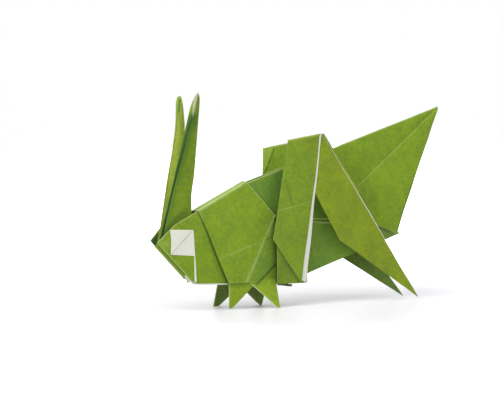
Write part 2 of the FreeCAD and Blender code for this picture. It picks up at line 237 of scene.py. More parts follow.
def rail(plane: np.ndarray, corners: Sequence[Point], steps: np.ndarray, at: Sequence[float] | None = None,
         soft: bool = False) -> np.ndarray:
    """A line of the drawing, carried to its plane.

    Formula: straight runs between the corners, or a Catmull-Rom curve through them where it is soft.

    Args:
        plane: the plane it lies in.
        corners: its corners in the drawing.
        steps: where along it the points stand, from 0 to 1.
        at: the step at each corner, by length if left out.
        soft: whether the line curves through its corners.

    Returns:
        One row a point: x, y and z, then the drawing's x and z.
    """
    flat = np.asarray(corners, float)
    if at is None:
        lengths = np.linalg.norm(np.diff(flat, axis=0), axis=1)
        at = np.concatenate([[0.0], np.cumsum(lengths)]) / lengths.sum()
    place = np.interp(steps, at, np.arange(len(flat)))
    index = np.minimum(place.astype(int), len(flat) - 2)
    part = (place - index)[:, None]
    if soft:
        wide = np.vstack([2 * flat[0] - flat[1], flat, 2 * flat[-1] - flat[-2]])
        before, start, end, after = (wide[index + shift] for shift in range(4))
        drawn = start + 0.5 * part * (end - before + part * (
            2 * before - 5 * start + 4 * end - after + part * (3 * start - before - 3 * end + after)))
    else:
        drawn = flat[index] * (1 - part) + flat[index + 1] * part
    ones = np.ones(len(steps))
    placed = plane @ np.stack([drawn[:, 0], 0 * ones, drawn[:, 1], ones])
    return np.column_stack([placed[:3].T, drawn])


def across(*lines: dict[Side, np.ndarray]) -> list[np.ndarray]:
    """Rails that go over or under the body, from the left side's first to the right side's first.

    Args:
        lines: a rail for each side, from the outermost to the middle.

    Returns:
        The left side's rails in that order, then the right side's in the other.
    """
    return [line[Side.LEFT] for line in lines] + [line[Side.RIGHT] for line in reversed(lines)]


@dataclass(frozen=True)
class Stance:
    """How the body leans and where it stands in the frame."""

    lean: float = 6.0
    forward: float = 13.389
    across: float = 4.679
    waver: float = 0.09
    clearance: float = 0.1

    def settle(self, points: np.ndarray) -> np.ndarray:
        """Points of the upright body, moved to their place in the frame.

        Formula: a waver across the body, two long sine waves in x and z, then a turn about x by the lean,
        then the shift to the frame's middle. The paper's middle stays the clearance above the table.

        Args:
            points: x, y and z in millimetres.

        Returns:
            The same points in metres.
        """
        x, y, z = points.T
        y = y + self.waver * (np.sin(0.21 * x + 0.33 * z + 1.0) + 0.6 * np.sin(0.47 * x - 0.29 * z + 2.2))
        turn = math.radians(self.lean)
        up = z * math.cos(turn) - y * math.sin(turn)
        side = y * math.cos(turn) + z * math.sin(turn)
        return np.column_stack([x - self.forward, side - self.across, np.maximum(up, self.clearance)]) * MM


STANCE = Stance()


def linked(name: str, data: bpy.types.ID) -> bpy.types.Object:
    """A new object, linked into the scene.

    Args:
        name: its name.
        data: its mesh, light or camera.

    Returns:
        The object.
    """
    thing = bpy.data.objects.new(name, data)
    bpy.context.scene.collection.objects.link(thing)
    return thing


class Sheet:
    """A piece of folded paper being made: grids of points, welded where they meet."""

    def __init__(self, name: str) -> None:
        """Starts an empty piece.

        Args:
            name: the piece's name.
        """
        self.name = name
        self.grids: list[np.ndarray] = []
        self.kinds: list[int] = []
        self.lines: list[tuple[np.ndarray, float, float]] = []

    def add(self, rails: Sequence[np.ndarray], rows: int, kind: int = 0, folds: Sequence[float] = (),
            puffs: Sequence[Triple] = ()) -> None:
        """Adds facets of paper between one rail and the next.

        Formula: a facet is (1 - v) A + v B, plus its puff times sin(pi u) sin(pi v). A fold of radius r takes
        the place of its rail by a quadratic Bezier arc that starts and ends r away from it.

        Args:
            rails: the lines, all with as many points.
            rows: rows of cells in a facet.
            kind: which pair of materials the faces take.
            folds: radius of the fold at each inner rail.
            puffs: how far each facet's middle stands out.
        """
        radii = [0.0, *(folds or [0.0] * (len(rails) - 2)), 0.0]
        puffs = list(puffs) + [(0.0, 0.0, 0.0)] * (len(rails) - 1 - len(puffs))
        along = np.sin(math.pi * np.linspace(0, 1, rails[0].shape[0]))
        steps = marks(rows)
        parts: list[np.ndarray] = []
        for index, (start, end) in enumerate(zip(rails, rails[1:])):
            run = end - start
            length = np.maximum(np.linalg.norm(run[:, :3], axis=1), 1e-6)[:, None]
            first = start + run * np.minimum(radii[index] / length, FOLD_SHARE)
            last = end - run * np.minimum(radii[index + 1] / length, FOLD_SHARE)
            if radii[index]:
                before = parts[-1][-1]
                arc = np.linspace(0, 1, ARC_STEPS + 1)[1:-1, None, None]
                parts.append((1 - arc) ** 2 * before + 2 * arc * (1 - arc) * start + arc ** 2 * first)
            facet = first + (last - first) * steps[:, None, None]
            swell = np.sin(math.pi * steps)[:, None] * along[None, :]
            facet[:, :, :3] += swell[:, :, None] * np.array(puffs[index])
            parts.append(facet if radii[index] or index == 0 else facet[1:])
        self.grids.append(np.concatenate(parts))
        self.kinds.append(kind)

    def mark(self, plane: np.ndarray, *lines: Mark) -> None:
        """Marks lines of rubbed, lighter paper or of painted highlight, and lines of painted shade.

        Args:
            plane: the plane they lie in.
            lines: each one's corners, its reach, and its strength from -1, painted shade, to 1, rubbed paper
                or painted highlight.
        """
        for corners, width, strength in lines:
            steps = np.linspace(0, 1, 4 * len(corners))
            self.lines.append((rail(plane, corners, steps, soft=len(corners) > 3)[:, :3], width, strength))

    def _worn_or_shaded(self, points: np.ndarray) -> np.ndarray:
        """How much each point is lightened by rubbing or painted highlight, or darkened by painted shade.

        Formula: for each line, its strength times exp(-(distance / width) squared); the strongest light line
        counts, less the strongest line of painted shade.

        Args:
            points: x, y and z.

        Returns:
            A value from -1 to 1 for each point.
        """
        tones, dark = np.zeros(len(points)), np.zeros(len(points))
        for line, width, strength in self.lines:
            start, run = line[:-1], np.diff(line, axis=0)
            offset = points[:, None, :] - start[None]
            part = np.clip((offset * run).sum(2) / np.maximum((run * run).sum(1), 1e-9), 0, 1)
            gap = np.linalg.norm(offset - part[:, :, None] * run[None], axis=2).min(1)
            mark = strength * np.exp(-(gap / width) ** 2)
            tones, dark = np.maximum(tones, mark), np.maximum(dark, -mark)
        return tones - dark

    def make(self, materials: Sequence[Material], thickness: float) -> None:
        """Turns the grids into an object that stands for the sheet of the frame.

        Args:
            materials: for each kind of paper, its face and its cut edge.
            thickness: the paper's thickness.
        """
        points, quads, kinds, base = [], [], [], 0
        for grid, kind in zip(self.grids, self.kinds):
            rows, columns = grid.shape[:2]
            index = base + np.arange(rows * columns).reshape(rows, columns)
            corners = (index[:-1, :-1], index[:-1, 1:], index[1:, 1:], index[1:, :-1])
            quads.append(np.stack(corners, -1).reshape(-1, 4))
            kinds.append(np.full(len(quads[-1]), 2 * kind, np.int32))
            points.append(grid.reshape(-1, 5))
            base += rows * columns
        table = np.concatenate(points)
        mesh = bpy.data.meshes.new(self.name)
        mesh.from_pydata(STANCE.settle(table[:, :3]).tolist(), [], np.concatenate(quads).tolist())
        mesh.polygons.foreach_set("material_index", np.concatenate(kinds))
        mesh.polygons.foreach_set("use_smooth", np.ones(len(mesh.polygons), bool))
        # The attribute holds rubbed paper and painted highlight above zero, and painted shade below zero.
        mesh.attributes.new("wear_and_shade", "FLOAT", "POINT").data.foreach_set("value", self._worn_or_shaded(table[:, :3]))
        drawn = np.column_stack([table[:, 3:], 0 * table[:, 0]])
        mesh.attributes.new("drawing", "FLOAT_VECTOR", "POINT").data.foreach_set("vector", drawn.ravel())
        weld = bmesh.new()
        weld.from_mesh(mesh)
        bmesh.ops.remove_doubles(weld, verts=weld.verts, dist=WELD * MM)
        bmesh.ops.recalc_face_normals(weld, faces=weld.faces)
        weld.to_mesh(mesh)
        weld.free()
        for material in materials:
            mesh.materials.append(material)
        piece = linked(self.name, mesh)
        body = piece.modifiers.new("thickness", "SOLIDIFY")
        body.thickness = thickness * MM
        body.offset = 0.0
        body.use_even_offset = False
        body.material_offset_rim = 1
        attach(piece, BODY)
        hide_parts(NODE)
        log.info("%s: %d faces of paper", self.name, len(mesh.polygons))


# Materials
class Graph:
    """A node tree being wired."""

    def __init__(self, tree: Tree) -> None:
        """Starts on a tree, which is emptied."""
        self.tree = tree
        tree.nodes.clear()

    def node(self, kind: str, inputs: dict[str | int, object] | None = None, **settings: object) -> Node:
        """Adds a node.

        Args:
            kind: its type.
            inputs: a value or a socket for each input, by name or number.
            settings: its own settings.

        Returns:
            The node.
        """
        node = self.tree.nodes.new(kind)
        for name, value in settings.items():
            setattr(node, name, value)
        for name, value in (inputs or {}).items():
            if isinstance(value, Socket):
                self.tree.links.new(value, node.inputs[name])
            else:
                node.inputs[name].default_value = value
        return node

    def math(self, operation: str, *values: Value, clamp: bool = False) -> Socket:
        """The result of a sum on one or more values."""
        inputs = dict(enumerate(values))
        return self.node("ShaderNodeMath", inputs, operation=operation, use_clamp=clamp).outputs[0]

    def vector(self, operation: str, *values: object) -> Node:
        """A vector operation."""
        return self.node("ShaderNodeVectorMath", dict(enumerate(values)), operation=operation)

    def blend(self, share: Value, first: object, second: object) -> Socket:
        """The first colour, turning into the second by a share."""
        return self.node("ShaderNodeMix", {0: share, 6: first, 7: second}, data_type="RGBA").outputs[2]

    def noise(self, vector: Socket, scale: float, detail: float = 2.0) -> Socket:
        """Smooth noise from 0 to 1."""
        inputs = {"Vector": vector, "Scale": scale, "Detail": detail}
        return self.node("ShaderNodeTexNoise", inputs).outputs[0]

    def give(self, result: Node, **sockets: Socket) -> None:
        """Links sockets to a group's outputs by name."""
        for name, socket in sockets.items():
            self.tree.links.new(socket, result.inputs[name])


def group(name: str, inputs: dict[str, str], outputs: dict[str, str]) -> tuple[Graph, Node, Node]:
    """A new shader group with its sockets.

    Args:
        name: the group's name.
        inputs: the kind of each input.
        outputs: the kind of each output.

    Returns:
        Its graph, its input node and its output node.
    """
    tree = bpy.data.node_groups.new(name, "ShaderNodeTree")
    for way, sockets in (("INPUT", inputs), ("OUTPUT", outputs)):
        for label, kind in sockets.items():
            tree.interface.new_socket(label, in_out=way, socket_type=f"NodeSocket{kind}")
    graph = Graph(tree)
    return graph, graph.node("NodeGroupInput"), graph.node("NodeGroupOutput")


def fibre_group() -> Tree:
    """Cloudy and speckled fibres of kozo-like paper: a tone about one half, and a height.

    Formula: a tone of clouds a few millimetres wide, mottling about one millimetre wide and fine specks, each
    noise less one half and times its own weight.

    Returns:
        The group.
    """
    graph, given, result = group(
        "paper_fibre", {"Vector": "Vector", "Clouds": "Float", "Mottling": "Float", "Specks": "Float"},
        {"Tone": "Float", "Height": "Float"})
    place = given.outputs["Vector"]
    tone: Value = 0.5
    layers = {}
    for name, scale, detail in (("Clouds", 210.0, 3.0), ("Mottling", 900.0, 3.0), ("Specks", 2600.0, 2.0)):
        layers[name] = graph.math("SUBTRACT", graph.noise(place, scale, detail), 0.5)
        tone = graph.math("MULTIPLY_ADD", layers[name], given.outputs[name], tone, clamp=name == "Specks")
    height = graph.math("MULTIPLY_ADD", layers["Specks"], 0.6, layers["Mottling"])
    graph.give(result, Tone=tone, Height=height)
    return graph.tree


def wear_and_shade_group() -> Tree:
    """Rubbed folds and edges and painted highlights, the attribute above zero broken up by noise, and painted
    shade below zero.

    Returns:
        The group.
    """
    graph, given, result = group("rubbed_fold_and_painted_shade", {"Vector": "Vector", "WearAndShade": "Float"},
                                 {"Mask": "Float", "Dark": "Float"})
    patchy = graph.noise(given.outputs["Vector"], 420.0, 3.0)
    share = graph.math("MULTIPLY_ADD", patchy, 1.3, 0.25, clamp=True)
    wear_and_shade = given.outputs["WearAndShade"]
    graph.give(result, Mask=graph.math("MULTIPLY", wear_and_shade, share, clamp=True),
               Dark=graph.math("MULTIPLY", wear_and_shade, -1.0, clamp=True))
    return graph.tree


def pressed_group() -> Tree:
    """A pressed line between two points of the side drawing.

    Formula: exp(-(distance to the line / width) squared).

    Returns:
        The group.
    """
    graph, given, result = group(
        "pressed_line", {"Drawing": "Vector", "Start": "Vector", "End": "Vector", "Width": "Float"},
        {"Mask": "Float"})
    run = graph.vector("SUBTRACT", given.outputs["End"], given.outputs["Start"]).outputs[0]
    offset = graph.vector("SUBTRACT", given.outputs["Drawing"], given.outputs["Start"]).outputs[0]
    dot = graph.vector("DOT_PRODUCT", offset, run).outputs["Value"]
    square = graph.vector("DOT_PRODUCT", run, run).outputs["Value"]
    part = graph.math("DIVIDE", dot, square, clamp=True)
    nearest = graph.node("ShaderNodeVectorMath", {0: run, "Scale": part}, operation="SCALE").outputs[0]
    gap = graph.vector("DISTANCE", offset, nearest).outputs["Value"]
    ratio = graph.math("DIVIDE", gap, given.outputs["Width"])
    fall = graph.math("EXPONENT", graph.math("MULTIPLY", graph.math("MULTIPLY", ratio, ratio), -1.0))
    graph.give(result, Mask=fall)
    return graph.tree


@dataclass(frozen=True)
class Crease:
    """A pressed line on a facet, in the side drawing."""

    start: Point
    end: Point
    width: float = 0.22
    strength: float = 0.5
    tone: Tone = Tone.LIGHT


class Workshop:
    """The groups that the papers share."""

    def __init__(self) -> None:
        """Makes the groups."""
        self.fibre = fibre_group()
        self.wear_and_shade = wear_and_shade_group()
        self.pressed = pressed_group()


def linear(red: int, green: int, blue: int) -> tuple[float, float, float, float]:
    """A colour as the shader wants it.

    Args:
        red: its red, from 0 to 255.
        green: its green.
        blue: its blue.

    Returns:
        Its linear red, green and blue, and full opacity.
    """
    parts = [value / 255 for value in (red, green, blue)]
    bent = [part / 12.92 if part <= 0.04045 else ((part + 0.055) / 1.055) ** 2.4 for part in parts]
    return bent[0], bent[1], bent[2], 1.0


@dataclass(frozen=True)
class Paper:
    """A finish of paper: its colour, its deeper and its rubbed colour, and its pressed lines.

    The fall is how much of the deep colour's red, green and blue is left in a dark line of painted shade.
    """

    name: str
    colour: tuple[int, int, int]
    deep: tuple[int, int, int]
    rubbed: tuple[int, int, int]
    roughness: float = 0.62
    clouds: float = 1.1
    mottling: float = 1.3
    specks: float = 1.5
    relief: float = 0.25
    fall: tuple[float, ...] = (0.17, 0.35, 0.8, 1.0)
    creases: tuple[Crease, ...] = ()

    def make(self, shop: Workshop) -> Material:
        """The material.

        Args:
            shop: the shared groups.

        Returns:
            The material, with its colour, roughness and relief from nodes.
        """
        material = bpy.data.materials.new(self.name)
        material.use_nodes = True
        graph = Graph(material.node_tree)
        place = graph.node("ShaderNodeTexCoord").outputs["Object"]
        fibre = graph.node("ShaderNodeGroup", {
            "Vector": place, "Clouds": self.clouds, "Mottling": self.mottling, "Specks": self.specks,
        }, node_tree=shop.fibre)
        deep, rubbed = linear(*self.deep), linear(*self.rubbed)
        colour = graph.blend(fibre.outputs["Tone"], deep, linear(*self.colour))
        drawing = graph.node("ShaderNodeAttribute", attribute_name="drawing").outputs["Vector"]
        height = graph.math("MULTIPLY", fibre.outputs["Height"], self.relief)
        # The dark colour is painted shade, for dark creases and for marks below zero.
        dark = tuple(part * fall for part, fall in zip(deep, self.fall))
        for crease in self.creases:
            line = graph.node("ShaderNodeGroup", {
                "Drawing": drawing, "Start": (*crease.start, 0.0), "End": (*crease.end, 0.0),
                "Width": crease.width}, node_tree=shop.pressed).outputs["Mask"]
            patchy = graph.math("MULTIPLY_ADD", graph.noise(place, 300.0), 1.2, 0.3, clamp=True)
            share = graph.math("MULTIPLY", graph.math("MULTIPLY", line, patchy), crease.strength)
            colour = graph.blend(share, colour, rubbed if crease.tone is Tone.LIGHT else dark)
            height = graph.math("MULTIPLY_ADD", line, crease.tone.value * crease.strength, height)
        # The sheet's marks: rubbed paper and painted highlights lighten it, and painted shade darkens it.
        wear_and_shade = graph.node("ShaderNodeAttribute", attribute_name="wear_and_shade").outputs["Fac"]
        tones = graph.node("ShaderNodeGroup", {"Vector": place, "WearAndShade": wear_and_shade}, node_tree=shop.wear_and_shade).outputs
        colour = graph.blend(tones["Mask"], colour, rubbed)
        colour = graph.blend(tones["Dark"], colour, dark)
        roughness = graph.math("MULTIPLY_ADD", fibre.outputs["Tone"], -0.12, self.roughness + 0.06)
        bump = graph.node("ShaderNodeBump", {"Height": height, "Distance": 0.00006, "Strength": 0.6})
        shader = graph.node("ShaderNodeBsdfPrincipled", {
            "Base Color": colour, "Roughness": roughness, "Normal": bump.outputs[0],
            "Specular IOR Level": 0.14})
        graph.node("ShaderNodeOutputMaterial", {"Surface": shader.outputs[0]})
        return material


# GREEN and OLIVE are the paper's own colours; SHADE is the green made darker and bluer, painted shade.
GREEN = (140, 168, 36), (110, 140, 46), (178, 196, 112)
OLIVE = (150, 170, 38), (120, 142, 48), (190, 204, 128)
SHADE = (131, 165, 54), (101, 137, 60), (200, 214, 134)
SMOOTH = dict(clouds=0.8, mottling=0.6, specks=0.4, relief=0.2, fall=(0.62, 0.6, 0.5, 1.0))


@dataclass(frozen=True)
class Finishes:
    """Every finish of the folded paper. Several are copies of one green, made lighter as painted light or
    darker and bluer as painted shade.
    """

    saddle: Paper = Paper("saddle_paper", (140, 168, 36), (110, 140, 46), (182, 196, 130), creases=(
        Crease((-8.5, 33.9), (-14.2, 29.5), 0.35, 0.08),
        Crease((-14.2, 29.5), (-18.1, 25.5), 0.3, 0.07),
        Crease((-18.1, 15.25), (-14.4, 16.55), 0.2, 0.22),
        Crease((-14.4, 16.55), (-8.4, 18.65), 0.2, 0.42),
        Crease((-8.4, 18.65), (-3.9, 19.65), 0.2, 0.28),
    ))
    # Painted shade: the saddle's green made darker and bluer for the skirt, and a dark crease for the shade
    # under its fold.
    skirt: Paper = Paper("skirt_paper", (135, 168, 50), (106, 141, 55), (184, 202, 118), creases=(
        Crease((-2.5, 20.5), (0.9, 21.5), 0.3, 0.3, Tone.DARK),
    ))
    head: Paper = Paper("head_paper", *GREEN)
    antenna: Paper = Paper("antenna_paper", *GREEN, creases=(
        Crease((-31.2, 35.3), (-26.5, 35.15), 0.2, 0.15),
    ))
    # Painted light: the green made lighter for the far antenna, which faces the lamp; its dark creases paint
    # the shade in its pleats.
    far_antenna: Paper = Paper("far_antenna_paper", (156, 172, 50), (126, 146, 56), (190, 202, 124), creases=(
        Crease((-24.8, 64.8), (-25.4, 61.2), 0.24, 0.9, Tone.DARK),
        Crease((-25.4, 61.2), (-25.2, 53.5), 0.14, 0.6, Tone.DARK),
        Crease((-24.45, 63.5), (-24.6, 56.0), 0.14, 0.6, Tone.DARK),
    ))
    # Painted light: the near legs' green made lighter; the far legs' green is made bluer, painted shade.
    leg: Paper = Paper("leg_paper", (158, 184, 38), (126, 156, 48), (206, 214, 164))
    far_leg: Paper = Paper("far_leg_paper", (138, 164, 72), (108, 136, 74), (214, 206, 168))
    # Painted shade: the dark inner paper for sheets inside the head and abdomen, and the darker, bluer body
    # paper.
    inner: Paper = Paper("inner_paper", (70, 104, 52), (52, 84, 46), (150, 170, 100))
    body: Paper = Paper("body_paper", *SHADE)
    wing: Paper = Paper("wing_paper", *GREEN)
    hip: Paper = Paper("hip_paper", (134, 157, 42), (104, 130, 48), (184, 198, 120))
    chin: Paper = Paper("chin_paper", (146, 170, 44), (118, 144, 50), (190, 202, 128))
    # Painted light: the far thigh's facet that faces the lamp, made lighter still.
    facet: Paper = Paper("far_facet_paper", (168, 194, 66), (142, 170, 74), (196, 208, 134))
    thigh: Paper = Paper("thigh_paper", (143, 169, 41), (113, 141, 51), (190, 206, 108), creases=(
        # A dark crease: painted shade in its fold.
        Crease((3.5, 39.1), (5.85, 30.5), 0.22, 0.45, Tone.DARK),
        Crease((2.2, 34.4), (4.75, 34.3), 0.15, 0.2),
        Crease((1.2, 29.3), (5.85, 30.3), 0.16, 0.5),
        Crease((5.85, 30.3), (12.2, 31.85), 0.16, 0.28),
    ))
    # Painted light: the far thigh's green made lighter.
    far_thigh: Paper = Paper("far_thigh_paper", (150, 182, 46), (120, 152, 54), (186, 202, 118))
    shin: Paper = Paper("shin_paper", *OLIVE)
    # Painted shade: the far shin's green made darker and bluer.
    far_shin: Paper = Paper("far_shin_paper", (120, 146, 58), (94, 120, 56), (170, 186, 110))
    white: Paper = Paper("white_paper", (240, 241, 230), (226, 228, 214), (246, 246, 240), **SMOOTH)
    # The eye's dark creases are painted shade in its folds.
    eye: Paper = Paper("eye_paper", (238, 240, 228), (224, 227, 213), (244, 242, 216), **SMOOTH, creases=(
        Crease((-33.5, 17.4), (-26.4, 24.1), 0.17, 0.95, Tone.DARK),
        Crease((-33.4, 24.2), (-30.2, 21.2), 0.13, 0.15, Tone.DARK),
        Crease((-33.0, 17.5), (-28.5, 21.75), 0.1, 0.5),
    ))
    cream: Paper = Paper("cream_paper", (222, 214, 182), (196, 190, 160), (230, 226, 204))
    cut: Paper = Paper("cut_edge", (186, 200, 128), (160, 178, 104), (220, 224, 184),
                       specks=0.9, relief=0.4)


class Papers:
    """The material of each finish, under the finish's own name."""

    def __init__(self, shop: Workshop, finishes: Finishes) -> None:
        """Makes each finish's material."""
        for field in fields(finishes):
            setattr(self, field.name, getattr(finishes, field.name).make(shop))


# The parts of the insect
@dataclass(frozen=True)
class Saddle:
    """Spine, two sides with their mountain folds, and the skirts behind them."""

    half: float = 2.7
    spread: float = 4.0
    skirt_turn: float = 14.0
    far_spine: Point = (1.3, 0.4)
    fold_top: Point = (1.45, 28.0)
    notch_top: Point = (0.95, 12.85)
    notch_front: Point = (-5.5, 7.62)
    skirt_edge: Line = ((0.8, 21.3), (0.95, 27.3))
    tab_foot: Point = (1.0, 26.9)
    tab_end: Point = (1.9, 27.4)
    layer_front: Line = ((0.8, 26.0), (-4.0, 7.75))
    layer_edge: Line = ((1.5, 27.2), (1.5, 21.9), (1.7, 13.5), (1.95, 7.3))
    # layer_shade is painted shade on the layer under the skirt's edge.
    layer_shade: Line = ((1.0, 22.0), (1.0, 19.8), (1.2, 13.0))
    layer_gap: float = 0.25
    fold_radius: float = 0.45
    skirt_puff: float = 0.12
    side_puff: float = 0.35
    spine_sag: float = 0.2
    corner_at: float = 0.21
    notch_at: float = 0.32
    # Painted highlights: above the skirt's crease, along the lower mountain fold and at the collar's top.
    skirt_highlight: Line = ((0.2, 25.5), (-0.9, 22.4))
    fold_highlight_end: Point = (-5.5, 15.3)
    collar_highlight_end: Point = (-23.1, 27.8)
    streaks: tuple[Point, ...] = ((-1.7, 0.85), (-0.4, 0.4), (0.8, 0.65), (2.0, 0.35))
    thickness: float = 0.24

    def side_plane(self, side: Side) -> np.ndarray:
        """The plane of one side."""
        swing = hinged(DRAWING.spine_front, DRAWING.spine_rear, side.value * self.spread)
        return shifted(side.value * self.half) @ swing

    def skirt_plane(self, side: Side) -> np.ndarray:
        """The plane of one side's skirt."""
        swing = hinged(DRAWING.rear_corner, DRAWING.fold_foot, side.value * self.skirt_turn)
        return self.side_plane(side) @ swing

    def make(self, papers: Papers) -> None:
        """Builds and dresses the saddle.

        Args:
            papers: the materials.
        """
        d = DRAWING
        sheet = Sheet("saddle")
        steps = marks(110, self.corner_at, self.corner_at + (1 - self.corner_at) * self.notch_at)
        rear = (steps[steps >= self.corner_at - 1e-9] - self.corner_at) / (1 - self.corner_at)
        tab, layer = marks(6), marks(30)
        hems, spines = {}, {}
        for side in Side:
            plane, skirt = self.side_plane(side), self.skirt_plane(side)
            under = skirt @ shifted(-side.value * self.layer_gap)
            end = d.spine_rear
            if side is Side.RIGHT:
                end = end[0] + self.far_spine[0], end[1] + self.far_spine[1]
            hem = (d.collar_foot, d.fold_foot, self.fold_top)
            hems[side] = rail(plane, hem, steps, at=(0, self.corner_at, 1))
            spines[side] = rail(plane, (d.spine_front, end), steps)
            edge = (self.notch_front, self.notch_top, *self.skirt_edge)
            sheet.add([rail(plane, hem[1:], rear), rail(skirt, edge, rear, at=(0, self.notch_at, 0.7, 1))],
                      rows=26, kind=1, puffs=[(0, side.value * self.skirt_puff, 0)])
            sheet.add([rail(skirt, (self.fold_top, self.tab_foot), tab),
                       rail(skirt, (d.rear_corner, self.tab_end), tab)], rows=5)
            sheet.add([rail(under, line, layer) for line in (self.layer_front, self.layer_edge)],
                      rows=12, kind=2)
            # Painted shade on the layer under the skirt's edge; the layer's own edge is rubbed.
            sheet.mark(under, (self.layer_shade, 0.15, -0.4), (self.layer_edge, 0.1, 0.5))
            # The skirt's rear and notch edges are rubbed; above its crease lies a painted highlight.
            sheet.mark(skirt, ((d.rear_corner, self.tab_end), 0.15, 0.8),
                       ((self.notch_top, self.notch_front), 0.12, 0.3),
                       (self.skirt_highlight, 1.1, 0.22))
            # The mountain fold and rear edge are rubbed and the spine lighter along its top; painted
            # highlights lie along the lower fold and at the collar's top, and painted shade along the
            # collar's edge.
            sheet.mark(plane, (hem[1:], 0.3, 0.62), ((d.fold_foot, self.fold_highlight_end), 0.5, 0.5),
                       ((end, self.fold_top, d.rear_corner), 0.2, 0.95),
                       ((d.spine_front, end), 0.5, 0.9), ((d.spine_front, self.collar_highlight_end), 0.16, 0.8),
                       (hem[:2], 0.16, 0.5), ((d.spine_front, d.collar_foot), 0.14, -0.45))
        for place, strength in self.streaks:
            sheet.mark(shifted(place), ((d.spine_front, d.spine_rear), 0.6, strength))
        sheet.add(across(hems, spines), rows=40, folds=2 * (self.fold_radius,),
                  puffs=[(0, -self.side_puff, 0), (0, 0, -self.spine_sag), (0, self.side_puff, 0)])
        # The skirt's paper is painted shade; the layer under it takes the legs' lighter paper, painted light.
        sheet.make([papers.saddle, papers.cut, papers.skirt, papers.cut, papers.leg, papers.cut],
                   self.thickness)


@dataclass(frozen=True)
class ShortLeg:
    """A short leg: a root inside the saddle and a flap that stands on its blunt toe."""

    name: str
    side: Side
    front: Point
    rear: Point
    toe_front: Point
    toe_rear: Point
    root_rear: Point
    splay: float
    inset: float = 0.2
    puff: float = 0.1
    # dusk is the strength of a painted shade under the hem, and dusk_drop how far below the hinge it lies.
    dusk: float = 0.0
    dusk_drop: float = 0.5
    notch: Line = ()
    notch_foot: Line = ((-4.0, 8.0), (1.6, 10.5))
    thickness: float = 0.2

    def make(self, parent: np.ndarray, papers: Papers) -> None:
        """Builds and dresses the leg.

        Args:
            parent: the plane of the saddle's facet that it hangs from.
            papers: the materials.
        """
        sheet = Sheet(self.name)
        inside = parent @ shifted(-self.side.value * self.inset)
        flap = inside @ hinged(self.front, self.rear, self.side.value * self.splay)
        steps = marks(34)
        sheet.add([rail(inside, (self.front, self.root_rear), steps),
                   rail(inside, (self.front, self.rear), steps),
                   rail(flap, (self.toe_front, self.toe_rear), steps)],
                  rows=26, puffs=[(0, 0, 0), (0, self.side.value * self.puff, 0)])
        # Painted shade on the flap just under the hem; the flap's front edge and the hinge are rubbed.
        dusk = [(x, z - self.dusk_drop) for x, z in (self.front, self.rear)]
        sheet.mark(flap, ((self.front, self.toe_front), 0.2, 0.9), ((self.rear, self.toe_rear), 0.12, 0.3),
                   (dusk, 0.9, -self.dusk))
        sheet.mark(inside, ((self.front, self.rear), 0.12, 0.35))
        # Painted shade on the root below the skirt's notch edge.
        if self.notch:
            sheet.mark(inside, (self.notch, 0.5, -1.0), (self.notch_foot, 1.6, -0.2))
        # The near legs' paper is lighter, painted light; the far legs' is bluer, painted shade.
        sheet.make([papers.leg if self.side is Side.LEFT else papers.far_leg, papers.cut], self.thickness)


@dataclass(frozen=True)
class Profile:
    """The outline of one wall of the head, and how rubbed its brow is."""

    nose: Point
    mouth: Point
    brow: Line
    chin: Line
    chin_at: tuple[float, ...]
    rubbed: float


